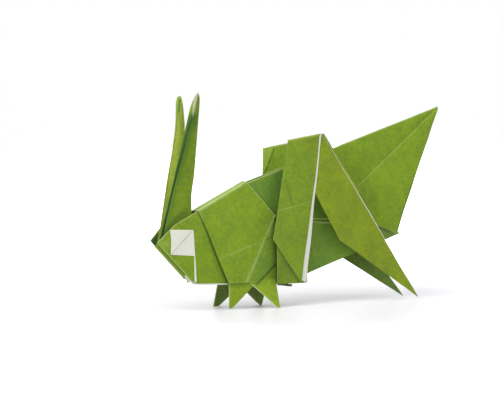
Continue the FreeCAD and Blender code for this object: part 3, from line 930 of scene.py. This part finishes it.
@dataclass(frozen=True)
class Head:
    """Two walls open at the top, the chin's two layers, the square eyes and the strips behind the cheeks."""

    half: float = 2.6
    near: Profile = Profile((-38.0, 21.05), (-38.0, 21.05), ((-33.75, 24.75), (-32.5, 25.85), (-30.0, 27.25)),
                            ((-27.1, 8.95), (-25.9, 8.3)), (0, 0.46, 0.5, 1), 0.85)
    far: Profile = Profile((-38.1, 21.75), (-36.8, 20.1), ((-35.0, 25.1), (-33.6, 26.3), (-30.2, 27.5)),
                           ((-27.5, 9.85), (-24.3, 9.0), (-21.0, 8.3)), (0, 0.46, 0.56, 0.66, 1), 0.15)
    brow_at: tuple[float, ...] = (0, 0.24, 0.3, 0.42, 0.8, 1)
    neck: Point = (-18.6, 32.9)
    throat: Point = (-9.7, 7.65)
    collar_gap: float = 0.65
    puff: float = 0.12
    inset: float = 0.05
    flap_drop: float = 0.9
    flap_slope: float = -48.0
    flap_rear: Point = (-27.5, 9.2)
    flap_middle: float = -0.95
    flap_edge: Line = ((-37.8, 19.6), (-35.5, 17.1), (-28.9, 10.65))
    # The lining is a sheet of dark inner paper inside the far wall: painted shade.
    lining_inset: float = 0.22
    lining_top: Line = ((-37.8, 21.7), (-33.6, 26.0))
    lining_rear: Point = (-31.0, 14.0)
    eye_out: float = 0.24
    eye_front: Line = ((-33.75, 24.7), (-33.6, 20.9), (-34.0, 17.2))
    eye_rear: Line = ((-26.05, 24.4), (-25.95, 16.55))
    strip: Band = (((-26.2, 24.2), (-26.1, 16.5), (-26.5, 8.75)),
                   ((-26.0, 24.2), (-25.85, 16.5), (-25.8, 8.45)))
    jaw: Band = (((-27.1, 8.75), (-15.2, 8.0)), ((-26.7, 8.2), (-24.5, 7.75), (-15.2, 7.35)))
    jaw_back: float = 6.0
    torn_at: float = -2.3
    torn: Band = (((-29.3, 11.0), (-25.6, 8.9)),
                  ((-29.3, 10.4), (-28.9, 9.5), (-28.6, 9.7), (-28.1, 8.7), (-27.7, 8.9), (-27.2, 8.2),
                   (-25.9, 7.85)))
    # A painted highlight by the nose; painted shade between the chin's layers.
    nose_highlight: Line = ((-36.0, 20.2), (-34.6, 20.6))
    chin_shades: tuple[tuple[float, Line, float], ...] = (
        (-2.0, ((-37.6, 20.0), (-28.0, 9.6)), 0.7), (-0.5, ((-37.8, 19.4), (-28.9, 10.4)), 0.5))
    thickness: float = 0.2
    eye_thickness: float = 0.12

    def make(self, papers: Papers) -> None:
        """Builds and dresses the head, then the eyes.

        Args:
            papers: the materials.
        """
        d = DRAWING
        sheet = Sheet("head")
        steps, flap = marks(80, 0.3, 0.5), marks(30)
        tops, lows, floors = {}, {}, {}
        for side, wall in ((Side.LEFT, self.near), (Side.RIGHT, self.far)):
            plane = shifted(side.value * self.half)
            brow = (wall.nose, *wall.brow, d.spine_front)
            tops[side] = rail(plane, (*brow, self.neck), steps, at=self.brow_at)
            lows[side] = rail(plane, (wall.nose, *wall.chin, self.throat), steps, at=wall.chin_at)
            floors[side] = rail(plane, (wall.mouth, *wall.chin, self.throat), steps, at=wall.chin_at)
            # Painted shade on the wall in the gap under the saddle's collar; the brow and the chin's edge are
            # rubbed.
            collar = d.spine_front, (d.collar_foot[0] + self.collar_gap, d.collar_foot[1])
            sheet.mark(plane, (brow, 0.22, wall.rubbed), ((wall.nose, wall.chin[0]), 0.16, 0.6),
                       (collar, 0.45, -0.9))
        left, right = Side.LEFT, Side.RIGHT
        sheet.add([tops[left], lows[left]], rows=26, puffs=[(0, -self.puff, 0)])
        sheet.add([floors[left], floors[right]], rows=12, kind=1)
        sheet.add([lows[right], tops[right]], rows=26, puffs=[(0, self.puff, 0)])
        middle = shifted(self.flap_middle)
        front = away(self.near.nose, self.flap_drop, self.flap_slope)
        upper = rail(shifted(-self.half - self.inset), (front, self.flap_rear), flap)
        sheet.add([upper, rail(middle, self.flap_edge, flap)], rows=12, kind=1)
        # The lining: dark inner paper inside the far wall, painted shade.
        inside = shifted(self.half - self.lining_inset)
        sheet.add([rail(inside, self.lining_top, flap),
                   rail(inside, (self.far.mouth, self.lining_rear), flap)], rows=8, kind=2)
        sheet.mark(middle, (self.flap_edge, 0.16, 0.5))
        # A painted highlight by the nose, then painted shade between the chin's layers.
        sheet.mark(shifted(-self.half), (self.nose_highlight, 1.1, 0.25))
        for place, line, strength in self.chin_shades:
            sheet.mark(shifted(place), (line, 0.4, -strength))
        sheet.make([papers.head, papers.cut, papers.chin, papers.chin, papers.inner, papers.inner],
                   self.thickness)
        self.eyes(papers)

    def eyes(self, papers: Papers) -> None:
        """Builds the white squares, the strips behind the cheeks and the torn white at the chin.

        Args:
            papers: the materials.
        """
        sheet = Sheet("eyes_and_cheeks")
        steps = marks(24)
        for side in Side:
            plane = shifted(side.value * (self.half + self.eye_out))
            sheet.add([rail(plane, self.eye_front, steps, soft=True), rail(plane, self.eye_rear, steps)],
                      rows=24, puffs=[(0, side.value * self.puff, 0)])
            sheet.mark(plane, ((self.eye_front[0], self.eye_rear[0]), 0.3, 0.7))
            sheet.add([rail(plane, line, steps) for line in self.strip], rows=5, kind=1)
            jaw = shifted(side.value * (self.half - self.inset))
            back = 0.0 if side is Side.LEFT else self.jaw_back
            lines = [[*((x + back, z) for x, z in line[:-1]), line[-1]] for line in self.jaw]
            sheet.add([rail(jaw, line, steps) for line in lines], rows=4, kind=1)
        sheet.add([rail(shifted(self.torn_at), line, steps) for line in self.torn], rows=4, kind=1)
        sheet.make([papers.eye, papers.cut, papers.white, papers.white], self.eye_thickness)


@dataclass(frozen=True)
class Antenna:
    """One antenna: a strip folded lengthwise at its rear and open at the front."""

    name: str
    side: Side
    outer: Line
    rear: Line
    groove: Line
    foot: Point = (-34.6, 26.0)
    lining: Line = ()
    reach: float = 0.9
    splay: float = 5.5
    gape: float = 1.15
    closing: float = 0.0
    # dusk lists lines of painted shade, each with its strength.
    dusk: tuple[tuple[Point, Point, float], ...] = ()
    back_off: float = 0.5
    flare: float = 0.0
    bulge: float = 0.5
    inner_bulge: float = 0.15
    fold_radius: float = 0.3
    lining_gap: float = 0.25
    brow_shade: Line = ((-35.0, 24.4), (-31.3, 28.0), (-27.2, 30.4))
    thickness: float = 0.16

    def make(self, papers: Papers) -> None:
        """Builds and dresses the antenna.

        Args:
            papers: the materials.
        """
        sign = self.side.value
        level = (self.foot[0] + 1, self.foot[1])
        stalk = shifted(sign * self.reach) @ hinged(self.foot, level, -sign * self.splay)
        edge = stalk @ shifted(self.back_off) @ hinged(self.foot, level, -self.flare)
        inner = stalk @ shifted(sign * self.gape) @ hinged(self.foot, level, sign * self.closing)
        steps = marks(120)
        sheet = Sheet(self.name)
        lines = ((edge, self.outer), (stalk, self.rear), (inner, self.groove))
        sheet.add([rail(plane, line, steps, soft=True) for plane, line in lines], rows=22,
                  folds=(self.fold_radius,), puffs=[(0, -self.bulge, 0), (0, sign * self.inner_bulge, 0)])
        if self.lining:
            # Painted shade in the groove behind the near flange and on the foot under the head's brow.
            crevice = [(x + 0.1, z) for x, z in self.groove[:6]]
            sheet.mark(stalk @ shifted(0.45), (crevice, 1.4, -1.0))
            sheet.mark(stalk @ shifted(sign * self.gape), (self.brow_shade, 1.1, -0.6))
            inside = inner @ shifted(-sign * self.lining_gap)
            sheet.add([rail(inside, line, steps, soft=True) for line in (self.lining, self.groove[-4:])],
                      rows=8, kind=1)
        # Painted shade that darkens the far antenna at its top and its foot.
        for start, end, strength in self.dusk:
            sheet.mark(stalk, ((start, end), 2.4, -strength))
        # The far antenna's paper is lighter: painted light.
        paper = papers.antenna if self.side is Side.LEFT else papers.far_antenna
        sheet.make([paper, paper, papers.cream, papers.cream], self.thickness)


@dataclass(frozen=True)
class Abdomen:
    """Two walls open along the back, the belly's pocket with its raw edges, and the hips."""

    half: float = 2.6
    front_x: float = -9.0
    middle_x: float = 16.0
    rear_x: float = 36.0
    taper: float = 2.2
    tail_top: Point = (36.0, 27.0)
    belly_front_z: float = 8.2
    fold_radius: float = 0.25
    wall_thickness: float = 0.2
    # The lining is a sheet of dark inner paper inside each wall: painted shade.
    lining_gap: float = 0.35
    lining_drop: float = 0.3
    lining_depth: float = 5.0
    pocket_gap: float = 0.22
    pocket_front: Point = (7.0, 7.75)
    pocket_edge: Line = ((6.0, 26.6), (16.0, 25.75), (22.3, 25.1), (36.0, 25.2), (46.8, 21.9))
    under_gap: float = 0.1
    under_edge: Line = ((6.0, 26.9), (16.0, 26.6), (22.0, 26.45), (36.0, 26.2))
    under_depth: float = 6.0
    # under_shade is how far below the under layer's edge its painted shade lies.
    under_shade: float = 0.55
    hip_half: float = 4.8
    hip_height: float = 14.0
    thigh_splay: float = 5.3
    # Painted shade on the walls beside the thigh and above the belly, a painted highlight at the pocket's
    # tail, and painted shade on the hips beside the thigh.
    thigh_shade: Line = ((5.8, 41.5), (2.8, 22.0))
    belly_shade: Line = ((13.0, 29.0), (22.0, 27.0))
    tail_rub: Line = ((41.0, 22.5), (46.5, 21.3))
    hip_shade: Line = ((-0.4, 20.4), (0.8, 18.8), (8.9, 6.9))
    root_strip: Band = (((5.5, 6.9), (10.8, 6.45)), ((5.6, 6.4), (10.55, 5.7)))
    thickness: float = 0.16

    def wall_plane(self, side: Side, out: float) -> np.ndarray:
        """The plane of one wall, a little further out."""
        upright = (self.front_x, 0.0), (self.front_x, 1.0)
        return shifted(side.value * (self.half + out)) @ hinged(*upright, -side.value * self.taper)

    def hip_plane(self, side: Side) -> np.ndarray:
        """The plane of one hip."""
        line = (DRAWING.hip_front, DRAWING.hips), (DRAWING.hip_rear, DRAWING.hips)
        return shifted(side.value * self.hip_half) @ hinged(*line, -side.value * self.thigh_splay)

    def make(self, papers: Papers) -> None:
        """Builds and dresses the walls, the pocket and the hips.

        Args:
            papers: the materials.
        """
        self.walls(papers)
        self.pocket(papers)
        self.hips(papers)

    def walls(self, papers: Papers) -> None:
        """Builds the two walls and their lining.

        Args:
            papers: the materials.
        """
        d = DRAWING
        steps = marks(60, 0.5)
        back = [rising(d.back, x, d.back_slope) for x in (self.front_x, self.middle_x)]
        low = ((self.front_x, self.belly_front_z), d.belly_front,
               rising(d.belly_front, self.rear_x, d.back_slope))
        lining_top = [(x, z - self.lining_drop) for x, z in back]
        lining_foot = [(x, z - self.lining_depth) for x, z in lining_top]
        sheet = Sheet("abdomen")
        tops, lows = {}, {}
        for side in Side:
            plane, inside = self.wall_plane(side, 0.0), self.wall_plane(side, -self.lining_gap)
            tops[side] = rail(plane, (*back, self.tail_top), steps, at=(0, 0.5, 1))
            lows[side] = rail(plane, low, steps, at=(0, 0.5, 1))
            # The open back's raw edges are rubbed; painted shade lies beside the thigh and above the belly.
            sheet.mark(plane, (back, 0.2, 1.0), (self.thigh_shade, 3.4, -0.28),
                       (self.belly_shade, 2.5, -0.25))
            # The lining, in dark inner paper: painted shade.
            sheet.add([rail(inside, line, steps) for line in (lining_top, lining_foot)], rows=8, kind=1)
        left, right = Side.LEFT, Side.RIGHT
        sheet.add([tops[left], lows[left], lows[right], tops[right]], rows=24, folds=2 * (self.fold_radius,))
        # The walls' body paper is darker and bluer: painted shade.
        sheet.make([papers.body, papers.cut, papers.inner, papers.inner], self.wall_thickness)

    def pocket(self, papers: Papers) -> None:
        """Builds the belly's pocket and the layer under its edge.

        Args:
            papers: the materials.
        """
        steps = marks(60, 0.3)
        belly = (self.pocket_front, DRAWING.belly_front, DRAWING.belly_tail)
        under_foot = [(x, z - self.under_depth) for x, z in self.under_edge]
        shade = [(x, z - self.under_shade) for x, z in self.under_edge]
        sheet = Sheet("belly_pocket")
        rims, folds = {}, {}
        for side in Side:
            plane, under = self.wall_plane(side, self.pocket_gap), self.wall_plane(side, self.under_gap)
            rims[side] = rail(plane, self.pocket_edge, steps)
            folds[side] = rail(plane, belly, steps, at=(0, 0.3, 1))
            # The raw edges and the belly's fold are rubbed; a painted highlight lies at the tail.
            sheet.mark(plane, (self.pocket_edge[:4], 0.24, 1.0), (belly, 0.16, 0.25),
                       (self.tail_rub, 1.8, 0.4))
            sheet.add([rail(under, line, steps) for line in (self.under_edge, under_foot)], rows=10)
            # The under layer's raw edge is rubbed; painted shade fills the gap below it.
            sheet.mark(under, (self.under_edge, 0.22, 1.0), (shade, 0.22, -0.7))
        sheet.add(across(rims, folds), rows=24, folds=2 * (self.fold_radius,))
        # The body paper is darker and bluer: painted shade.
        sheet.make([papers.body, papers.cut], self.thickness)

    def hips(self, papers: Papers) -> None:
        """Builds the hips, from one thigh under the belly to the other.

        Args:
            papers: the materials.
        """
        d = DRAWING
        steps = marks(30)
        line = (d.hip_front, d.hips), (d.hip_rear, d.hips)
        sheet = Sheet("hips")
        panels, floors = {}, {}
        for side in Side:
            plane = self.hip_plane(side)
            panels[side] = rail(plane, [(x, z + self.hip_height) for x, z in line], steps)
            floors[side] = rail(plane, line, steps)
            # The fold is rubbed; painted shade lies beside the thigh's edge.
            sheet.mark(plane, (line, 0.12, 0.8), (self.hip_shade, 1.1, -0.6))
        # The far thigh's root, in the far legs' bluer paper: painted shade.
        root = self.hip_plane(Side.RIGHT)
        sheet.add([rail(root, line, steps) for line in self.root_strip], rows=4, kind=1)
        sheet.add(across(panels, floors), rows=20, folds=2 * (self.fold_radius,))
        sheet.make([papers.hip, papers.cut, papers.far_leg, papers.cut], self.thickness)


@dataclass(frozen=True)
class Wings:
    """A roof folded along its ridge, each wing with a pressed crease that runs to the tip."""

    front_x: float = 14.0
    spread: float = 2.5
    crease_turn: float = 2.5
    crease_radius: float = 0.25
    ridge_radius: float = 0.5
    crease_foot: Point = (27.15, 31.5)
    hem_front: Point = (33.0, 26.1)
    near_edge: Line = ((45.5, 20.95), (49.2, 29.4))
    far_edge: Line = ((48.6, 20.9), (51.8, 29.4))
    far_shade: Point = (54.8, 36.0)
    edge_at: tuple[float, ...] = (0, 0.28, 0.46, 1)
    tip_top: Point = (64.85, 61.75)
    tip_middle: Point = (64.9, 61.3)
    tip_low: Point = (64.9, 60.7)
    low_puff: float = 0.3
    high_puff: float = 0.2
    thickness: float = 0.2

    def make(self, papers: Papers) -> None:
        """Builds and dresses the wings.

        Args:
            papers: the materials.
        """
        d = DRAWING
        ridge = rising(d.back, self.front_x, d.back_slope), self.tip_top
        crease = self.crease_foot, self.tip_middle
        steps = marks(110, self.edge_at[1])
        sheet = Sheet("wings")
        edges, creases, ridges = {}, {}, {}
        for side, edge in ((Side.LEFT, self.near_edge), (Side.RIGHT, self.far_edge)):
            plane = hinged(ridge[0], d.tail, side.value * self.spread)
            lower = plane @ hinged(*crease, side.value * self.crease_turn)
            edges[side] = rail(lower, (self.hem_front, *edge, self.tip_low), steps, at=self.edge_at)
            creases[side] = rail(plane, crease, steps)
            ridges[side] = rail(plane, ridge, steps)
            sheet.mark(plane, (crease, 0.15, 0.6), (ridge, 0.45, 0.7))
            sheet.mark(lower, ((edge[0], self.tip_low), 0.12, 0.4), ((self.hem_front, edge[0]), 0.16, 0.7))
            # Painted shade along the far wing's edge.
            if side is Side.RIGHT:
                sheet.mark(lower, ((edge[0], self.far_shade), 1.1, -0.35))
        rails = across(edges, creases, ridges)
        rails.pop(len(rails) // 2)
        puffs = (-self.low_puff, -self.high_puff, self.high_puff, self.low_puff)
        sheet.add(rails, rows=34, folds=(self.crease_radius, self.ridge_radius, self.crease_radius),
                  puffs=[(0, puff, 0) for puff in puffs])
        sheet.make([papers.wing, papers.cut], self.thickness)


@dataclass(frozen=True)
class HindLeg:
    """A hind leg: one strip folded over the knee, with its white lining behind the thigh."""

    name: str
    side: Side
    shift: Point = (0.0, 0.0)
    half: float = 5.0
    splay: float = 5.3
    layer: float = 0.2
    puff: float = 0.15
    root: Point = (8.8, 6.85)
    heel: Point = (-0.75, 20.55)
    knee_front: Point = (4.55, 51.0)
    knee_rear: Point = (16.1, 52.85)
    knee_overlap: Point = (0.6, -0.1)
    shin_heel: Point = (22.9, 19.3)
    shin_bend: Point = (24.7, 18.3)
    toe: Point = (51.5, 0.25)
    lining_front: Line = ((15.5, 52.3), (10.6, 22.0))
    lining_heel: Point = (9.0, 7.6)
    lining_rear: Line = ((16.35, 52.75), (13.7, 32.3), (12.3, 18.8), (11.3, 12.0))
    lining_foot: Point = (10.7, 6.75)
    lining_puff: float = 0.05
    white_edge: Line = ((16.75, 52.85), (20.13, 47.9), (33.98, 27.4), (39.3, 19.15))
    knee_layer: Line = ((17.35, 52.85), (20.2, 48.7), (30.4, 34.5))
    edge_width: Point = (1.2, 0.4)
    facet_gap: float = 0.05
    facet: Band = (((4.65, 50.6), (3.65, 42.8)), ((8.4, 51.0), (4.1, 43.2)))
    thickness: float = 0.16

    def moved(self, *points: Point) -> list[Point]:
        """The thigh's points, moved to this side's place."""
        return [(x + self.shift[0], z + self.shift[1]) for x, z in points]

    def make(self, papers: Papers) -> None:
        """Builds and dresses the leg.

        Args:
            papers: the materials.
        """
        sign = self.side.value
        near = self.side is Side.LEFT
        heel, root = self.moved(self.heel, self.root)
        knee_front, knee_rear = self.moved(self.knee_front, self.knee_rear)
        thigh = shifted(sign * self.half) @ hinged(root, (root[0] + 1, root[1]), -sign * self.splay)
        lining, shin = thigh @ shifted(self.layer), thigh @ shifted(2 * self.layer)
        knee_shin = knee_rear[0] + self.knee_overlap[0], knee_rear[1] + self.knee_overlap[1]
        steps, back = marks(50), marks(40)
        puffs = [(0, sign * self.puff, 0)]
        sheet = Sheet(self.name)
        sheet.add([rail(thigh, (heel, root), steps), rail(lining, (knee_front, knee_rear), steps)],
                  rows=50, puffs=puffs)
        sole = (*self.moved(self.shin_heel, self.shin_bend), self.toe)
        sheet.add([rail(shin, (knee_front, knee_shin), steps), rail(shin, sole, steps, at=(0, 0.1, 1))],
                  rows=50, kind=1, puffs=puffs)
        foot = self.lining_heel[0], max(self.lining_heel[1], self.lining_foot[1])
        sheet.add([rail(lining, self.moved(*self.lining_front, foot), back),
                   rail(lining, self.moved(*self.lining_rear, self.lining_foot), back)],
                  rows=12, kind=2, puffs=[(0, -self.lining_puff, 0)])
        for reach, edge, kind in ((0.1, self.white_edge, 2), (0.2, self.knee_layer, 1)):
            behind, outer = shin @ shifted(reach), self.moved(*edge)
            inner = [(x - self.edge_width[0], z - self.edge_width[1]) for x, z in outer]
            sheet.add([rail(behind, inner, back), rail(behind, outer, back)], rows=4, kind=kind)
        sheet.mark(lining, ((knee_front, knee_rear), 0.45, 0.85))
        sheet.mark(thigh, ((heel, knee_front), 0.12, 0.3))
        # The far thigh's facet that faces the lamp, in lighter paper: painted light.
        if not near:
            front = thigh @ shifted(-self.facet_gap)
            sheet.add([rail(front, self.moved(*line), back) for line in self.facet], rows=6, kind=3)
        # The far thigh's paper is lighter, painted light; the far shin's is darker, painted shade.
        leg = (papers.thigh, papers.shin) if near else (papers.far_thigh, papers.far_shin)
        sheet.make([leg[0], papers.cut, leg[1], papers.cut, papers.white, papers.white, papers.facet,
                    papers.facet], self.thickness)


# The studio
@dataclass(frozen=True)
class Studio:
    """The white table, the soft lamps and the camera."""

    table_half: float = 1.4
    table_tone: float = 0.5
    table_seen: Triple = (0.965, 0.945, 1.0)
    glow: float = 0.03
    glow_from: float = 0.045
    glow_to: float = 0.16
    surround: float = 0.74
    lamp_side: float = 0.5
    aim_height: float = 0.03
    key_at: Triple = (-0.77, -0.23, 0.41)
    key_power: float = 4.5
    top_at: Triple = (-0.27, -0.27, 0.81)
    top_power: float = 1.5
    camera_at: Triple = (-0.29205, -0.53972, 0.06831)
    camera_yaw: float = 27.0
    camera_drop: float = 3.4
    lens: float = 140.14
    sensor: float = 36.0

    def make(self) -> None:
        """Sets the whole studio."""
        self.table()
        self.sky()
        self.lamp("key", self.key_at, self.key_power)
        self.lamp("top", self.top_at, self.top_power)
        self.camera()

    def table(self) -> None:
        """The white table, which keeps the katydid's shadow."""
        steps = np.linspace(-self.table_half, self.table_half, 9)
        x, y = np.meshgrid(steps, steps)
        points = np.column_stack([x.ravel(), y.ravel(), np.zeros(x.size)])
        index = np.arange(x.size).reshape(x.shape)
        quads = np.stack([index[:-1, :-1], index[:-1, 1:], index[1:, 1:], index[1:, :-1]], -1).reshape(-1, 4)
        mesh = bpy.data.meshes.new("table")
        mesh.from_pydata(points.tolist(), [], quads.tolist())
        mesh.materials.append(self.table_white())
        table = linked("table", mesh)

    def table_white(self) -> Material:
        """The table's material, plain white to the camera beyond the shadow.

        Returns:
            The material.
        """
        material = bpy.data.materials.new("table_white")
        material.use_nodes = True
        graph = Graph(material.node_tree)
        seen = graph.node("ShaderNodeLightPath").outputs["Is Camera Ray"]
        place = graph.node("ShaderNodeTexCoord").outputs["Object"]
        far = graph.vector("LENGTH", place).outputs["Value"]
        spread = graph.node("ShaderNodeMapRange", {
            "Value": far, "From Min": self.glow_from, "From Max": self.glow_to, "To Min": self.glow,
            "To Max": 1.0}, interpolation_type="SMOOTHSTEP").outputs[0]
        colour = graph.blend(seen, (*3 * (self.table_tone,), 1.0), (*self.table_seen, 1.0))
        shader = graph.node("ShaderNodeBsdfPrincipled", {
            "Base Color": colour, "Roughness": 0.35, "Specular IOR Level": 0.1,
            "Emission Color": (1.0, 1.0, 1.0, 1.0),
            "Emission Strength": graph.math("MULTIPLY", seen, spread)})
        graph.node("ShaderNodeOutputMaterial", {"Surface": shader.outputs[0]})
        return material

    def sky(self) -> None:
        """A white surround, dimmer as a light than as a background."""
        world = bpy.data.worlds.new("surround")
        bpy.context.scene.world = world
        world.use_nodes = True
        graph = Graph(world.node_tree)
        path = graph.node("ShaderNodeLightPath")
        seen = graph.math("MAXIMUM", path.outputs["Is Camera Ray"], path.outputs["Is Glossy Ray"])
        strength = graph.math("MULTIPLY_ADD", seen, 1.0 - self.surround, self.surround)
        light = graph.node("ShaderNodeBackground", {"Color": (1.0, 1.0, 1.0, 1.0), "Strength": strength})
        graph.node("ShaderNodeOutputWorld", {"Surface": light.outputs[0]})

    def lamp(self, name: str, place: Triple, power: float) -> None:
        """A soft square lamp that faces the katydid.

        Args:
            name: the lamp's name.
            place: where it hangs.
            power: its watts.
        """
        light = bpy.data.lights.new(name, "AREA")
        light.shape = "SQUARE"
        light.size = self.lamp_side
        light.energy = power
        lamp = linked(name, light)
        x, y, z = place
        lamp.location = place
        tilt = math.atan2(math.hypot(x, y), z - self.aim_height)
        lamp.rotation_euler = (tilt, 0.0, math.atan2(-x, y) + math.pi)

    def camera(self) -> None:
        """The camera, at the height of the back and a little in front of the left side."""
        lens = bpy.data.cameras.new("camera")
        lens.lens = self.lens
        lens.sensor_width = self.sensor
        lens.clip_start = 0.01
        lens.clip_end = 20.0
        camera = linked("camera", lens)
        camera.location = self.camera_at
        camera.rotation_euler = (math.radians(90 - self.camera_drop), 0.0, math.radians(-self.camera_yaw))
        bpy.context.scene.camera = camera


LEFT_ANTENNA = Antenna(
    "left_antenna", Side.LEFT,
    outer=((-36.1, 21.5), (-35.3, 24.5), (-33.3, 32.0), (-31.2, 39.8), (-30.3, 43.6), (-28.3, 51.4),
           (-27.1, 56.0), (-25.7, 61.4), (-24.4, 64.4), (-23.4, 65.75)),
    rear=((-25.3, 27.0), (-25.6, 31.0), (-25.6, 35.0), (-24.7, 41.0), (-23.7, 51.4), (-23.1, 58.3),
          (-22.75, 63.7), (-22.85, 65.0), (-23.25, 65.8)),
    groove=((-35.7, 21.5), (-35.1, 24.7), (-32.65, 34.25), (-29.55, 44.3), (-26.8, 53.7), (-25.2, 58.5),
            (-24.2, 62.2), (-23.6, 64.7), (-23.35, 65.6)),
    lining=((-25.3, 58.6), (-25.15, 61.4), (-24.8, 64.0), (-24.2, 65.35), (-23.5, 65.75)),
    closing=1.1,
)
RIGHT_ANTENNA = Antenna(
    "right_antenna", Side.RIGHT,
    outer=((-37.0, 20.5), (-35.3, 25.4), (-33.6, 30.5), (-31.2, 38.3), (-28.4, 49.2), (-26.7, 56.7),
           (-26.0, 61.6), (-25.65, 64.2), (-25.1, 65.7), (-24.7, 66.1)),
    rear=((-26.6, 27.0), (-26.4, 31.0), (-26.1, 35.0), (-25.3, 42.0), (-24.6, 50.0), (-24.1, 56.7),
          (-24.1, 61.1), (-24.3, 64.6), (-24.75, 66.0)),
    groove=((-35.9, 21.5), (-34.9, 25.4), (-33.0, 33.0), (-30.6, 42.0), (-28.2, 51.0), (-26.6, 57.5),
            (-25.7, 61.8), (-25.3, 64.6), (-25.1, 65.7)),
    back_off=0.3, flare=2.2,
    dusk=(((-25.4, 66.0), (-26.0, 56.0), 0.16), ((-36.0, 22.0), (-32.5, 37.0), 0.25)),
)
HIND_LEGS = (
    HindLeg("left_hind_leg", Side.LEFT),
    HindLeg("right_hind_leg", Side.RIGHT, shift=(0.5, -1.1), half=4.9, heel=(0.9, 20.55), toe=(51.3, 0.75),
            lining_foot=(10.9, 10.5)),
)
FRONT_LEGS = (
    ShortLeg("left_front_leg", Side.LEFT, (-15.6, 7.82), (-6.0, 7.82), (-15.3, -0.1), (-14.25, -0.1),
             (-12.0, 8.4), splay=-16, dusk=0.35),
    ShortLeg("right_front_leg", Side.RIGHT, (-15.4, 7.82), (-6.0, 7.82), (-15.2, -0.4), (-13.7, -0.75),
             (-12.0, 8.4), splay=26),
)
MIDDLE_LEGS = (
    ShortLeg("left_middle_leg", Side.LEFT, (-8.8, 7.82), (1.5, 8.3), (0.0, -1.5), (0.4, -1.55), (1.6, 13.9),
             splay=23, notch=((-6.0, 7.0), (1.2, 12.75))),
    ShortLeg("right_middle_leg", Side.RIGHT, (-8.8, 7.82), (1.35, 7.82), (-0.65, -0.2), (-0.15, -0.2),
             (1.35, 13.9), splay=23),
)


def main() -> None:
    """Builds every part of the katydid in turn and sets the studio."""
    logging.basicConfig(level=logging.INFO, format="%(name)s: %(message)s")
    bpy.context.scene.view_settings.view_transform = "Standard"
    papers = Papers(Workshop(), Finishes())
    saddle = Saddle()
    for part in (saddle, Head(), LEFT_ANTENNA, RIGHT_ANTENNA, Abdomen(), Wings(), *HIND_LEGS):
        part.make(papers)
    for leg in FRONT_LEGS:
        leg.make(saddle.side_plane(leg.side), papers)
    for leg in MIDDLE_LEGS:
        leg.make(saddle.skirt_plane(leg.side), papers)
    Studio().make()


if __name__ == "__main__":
    main()
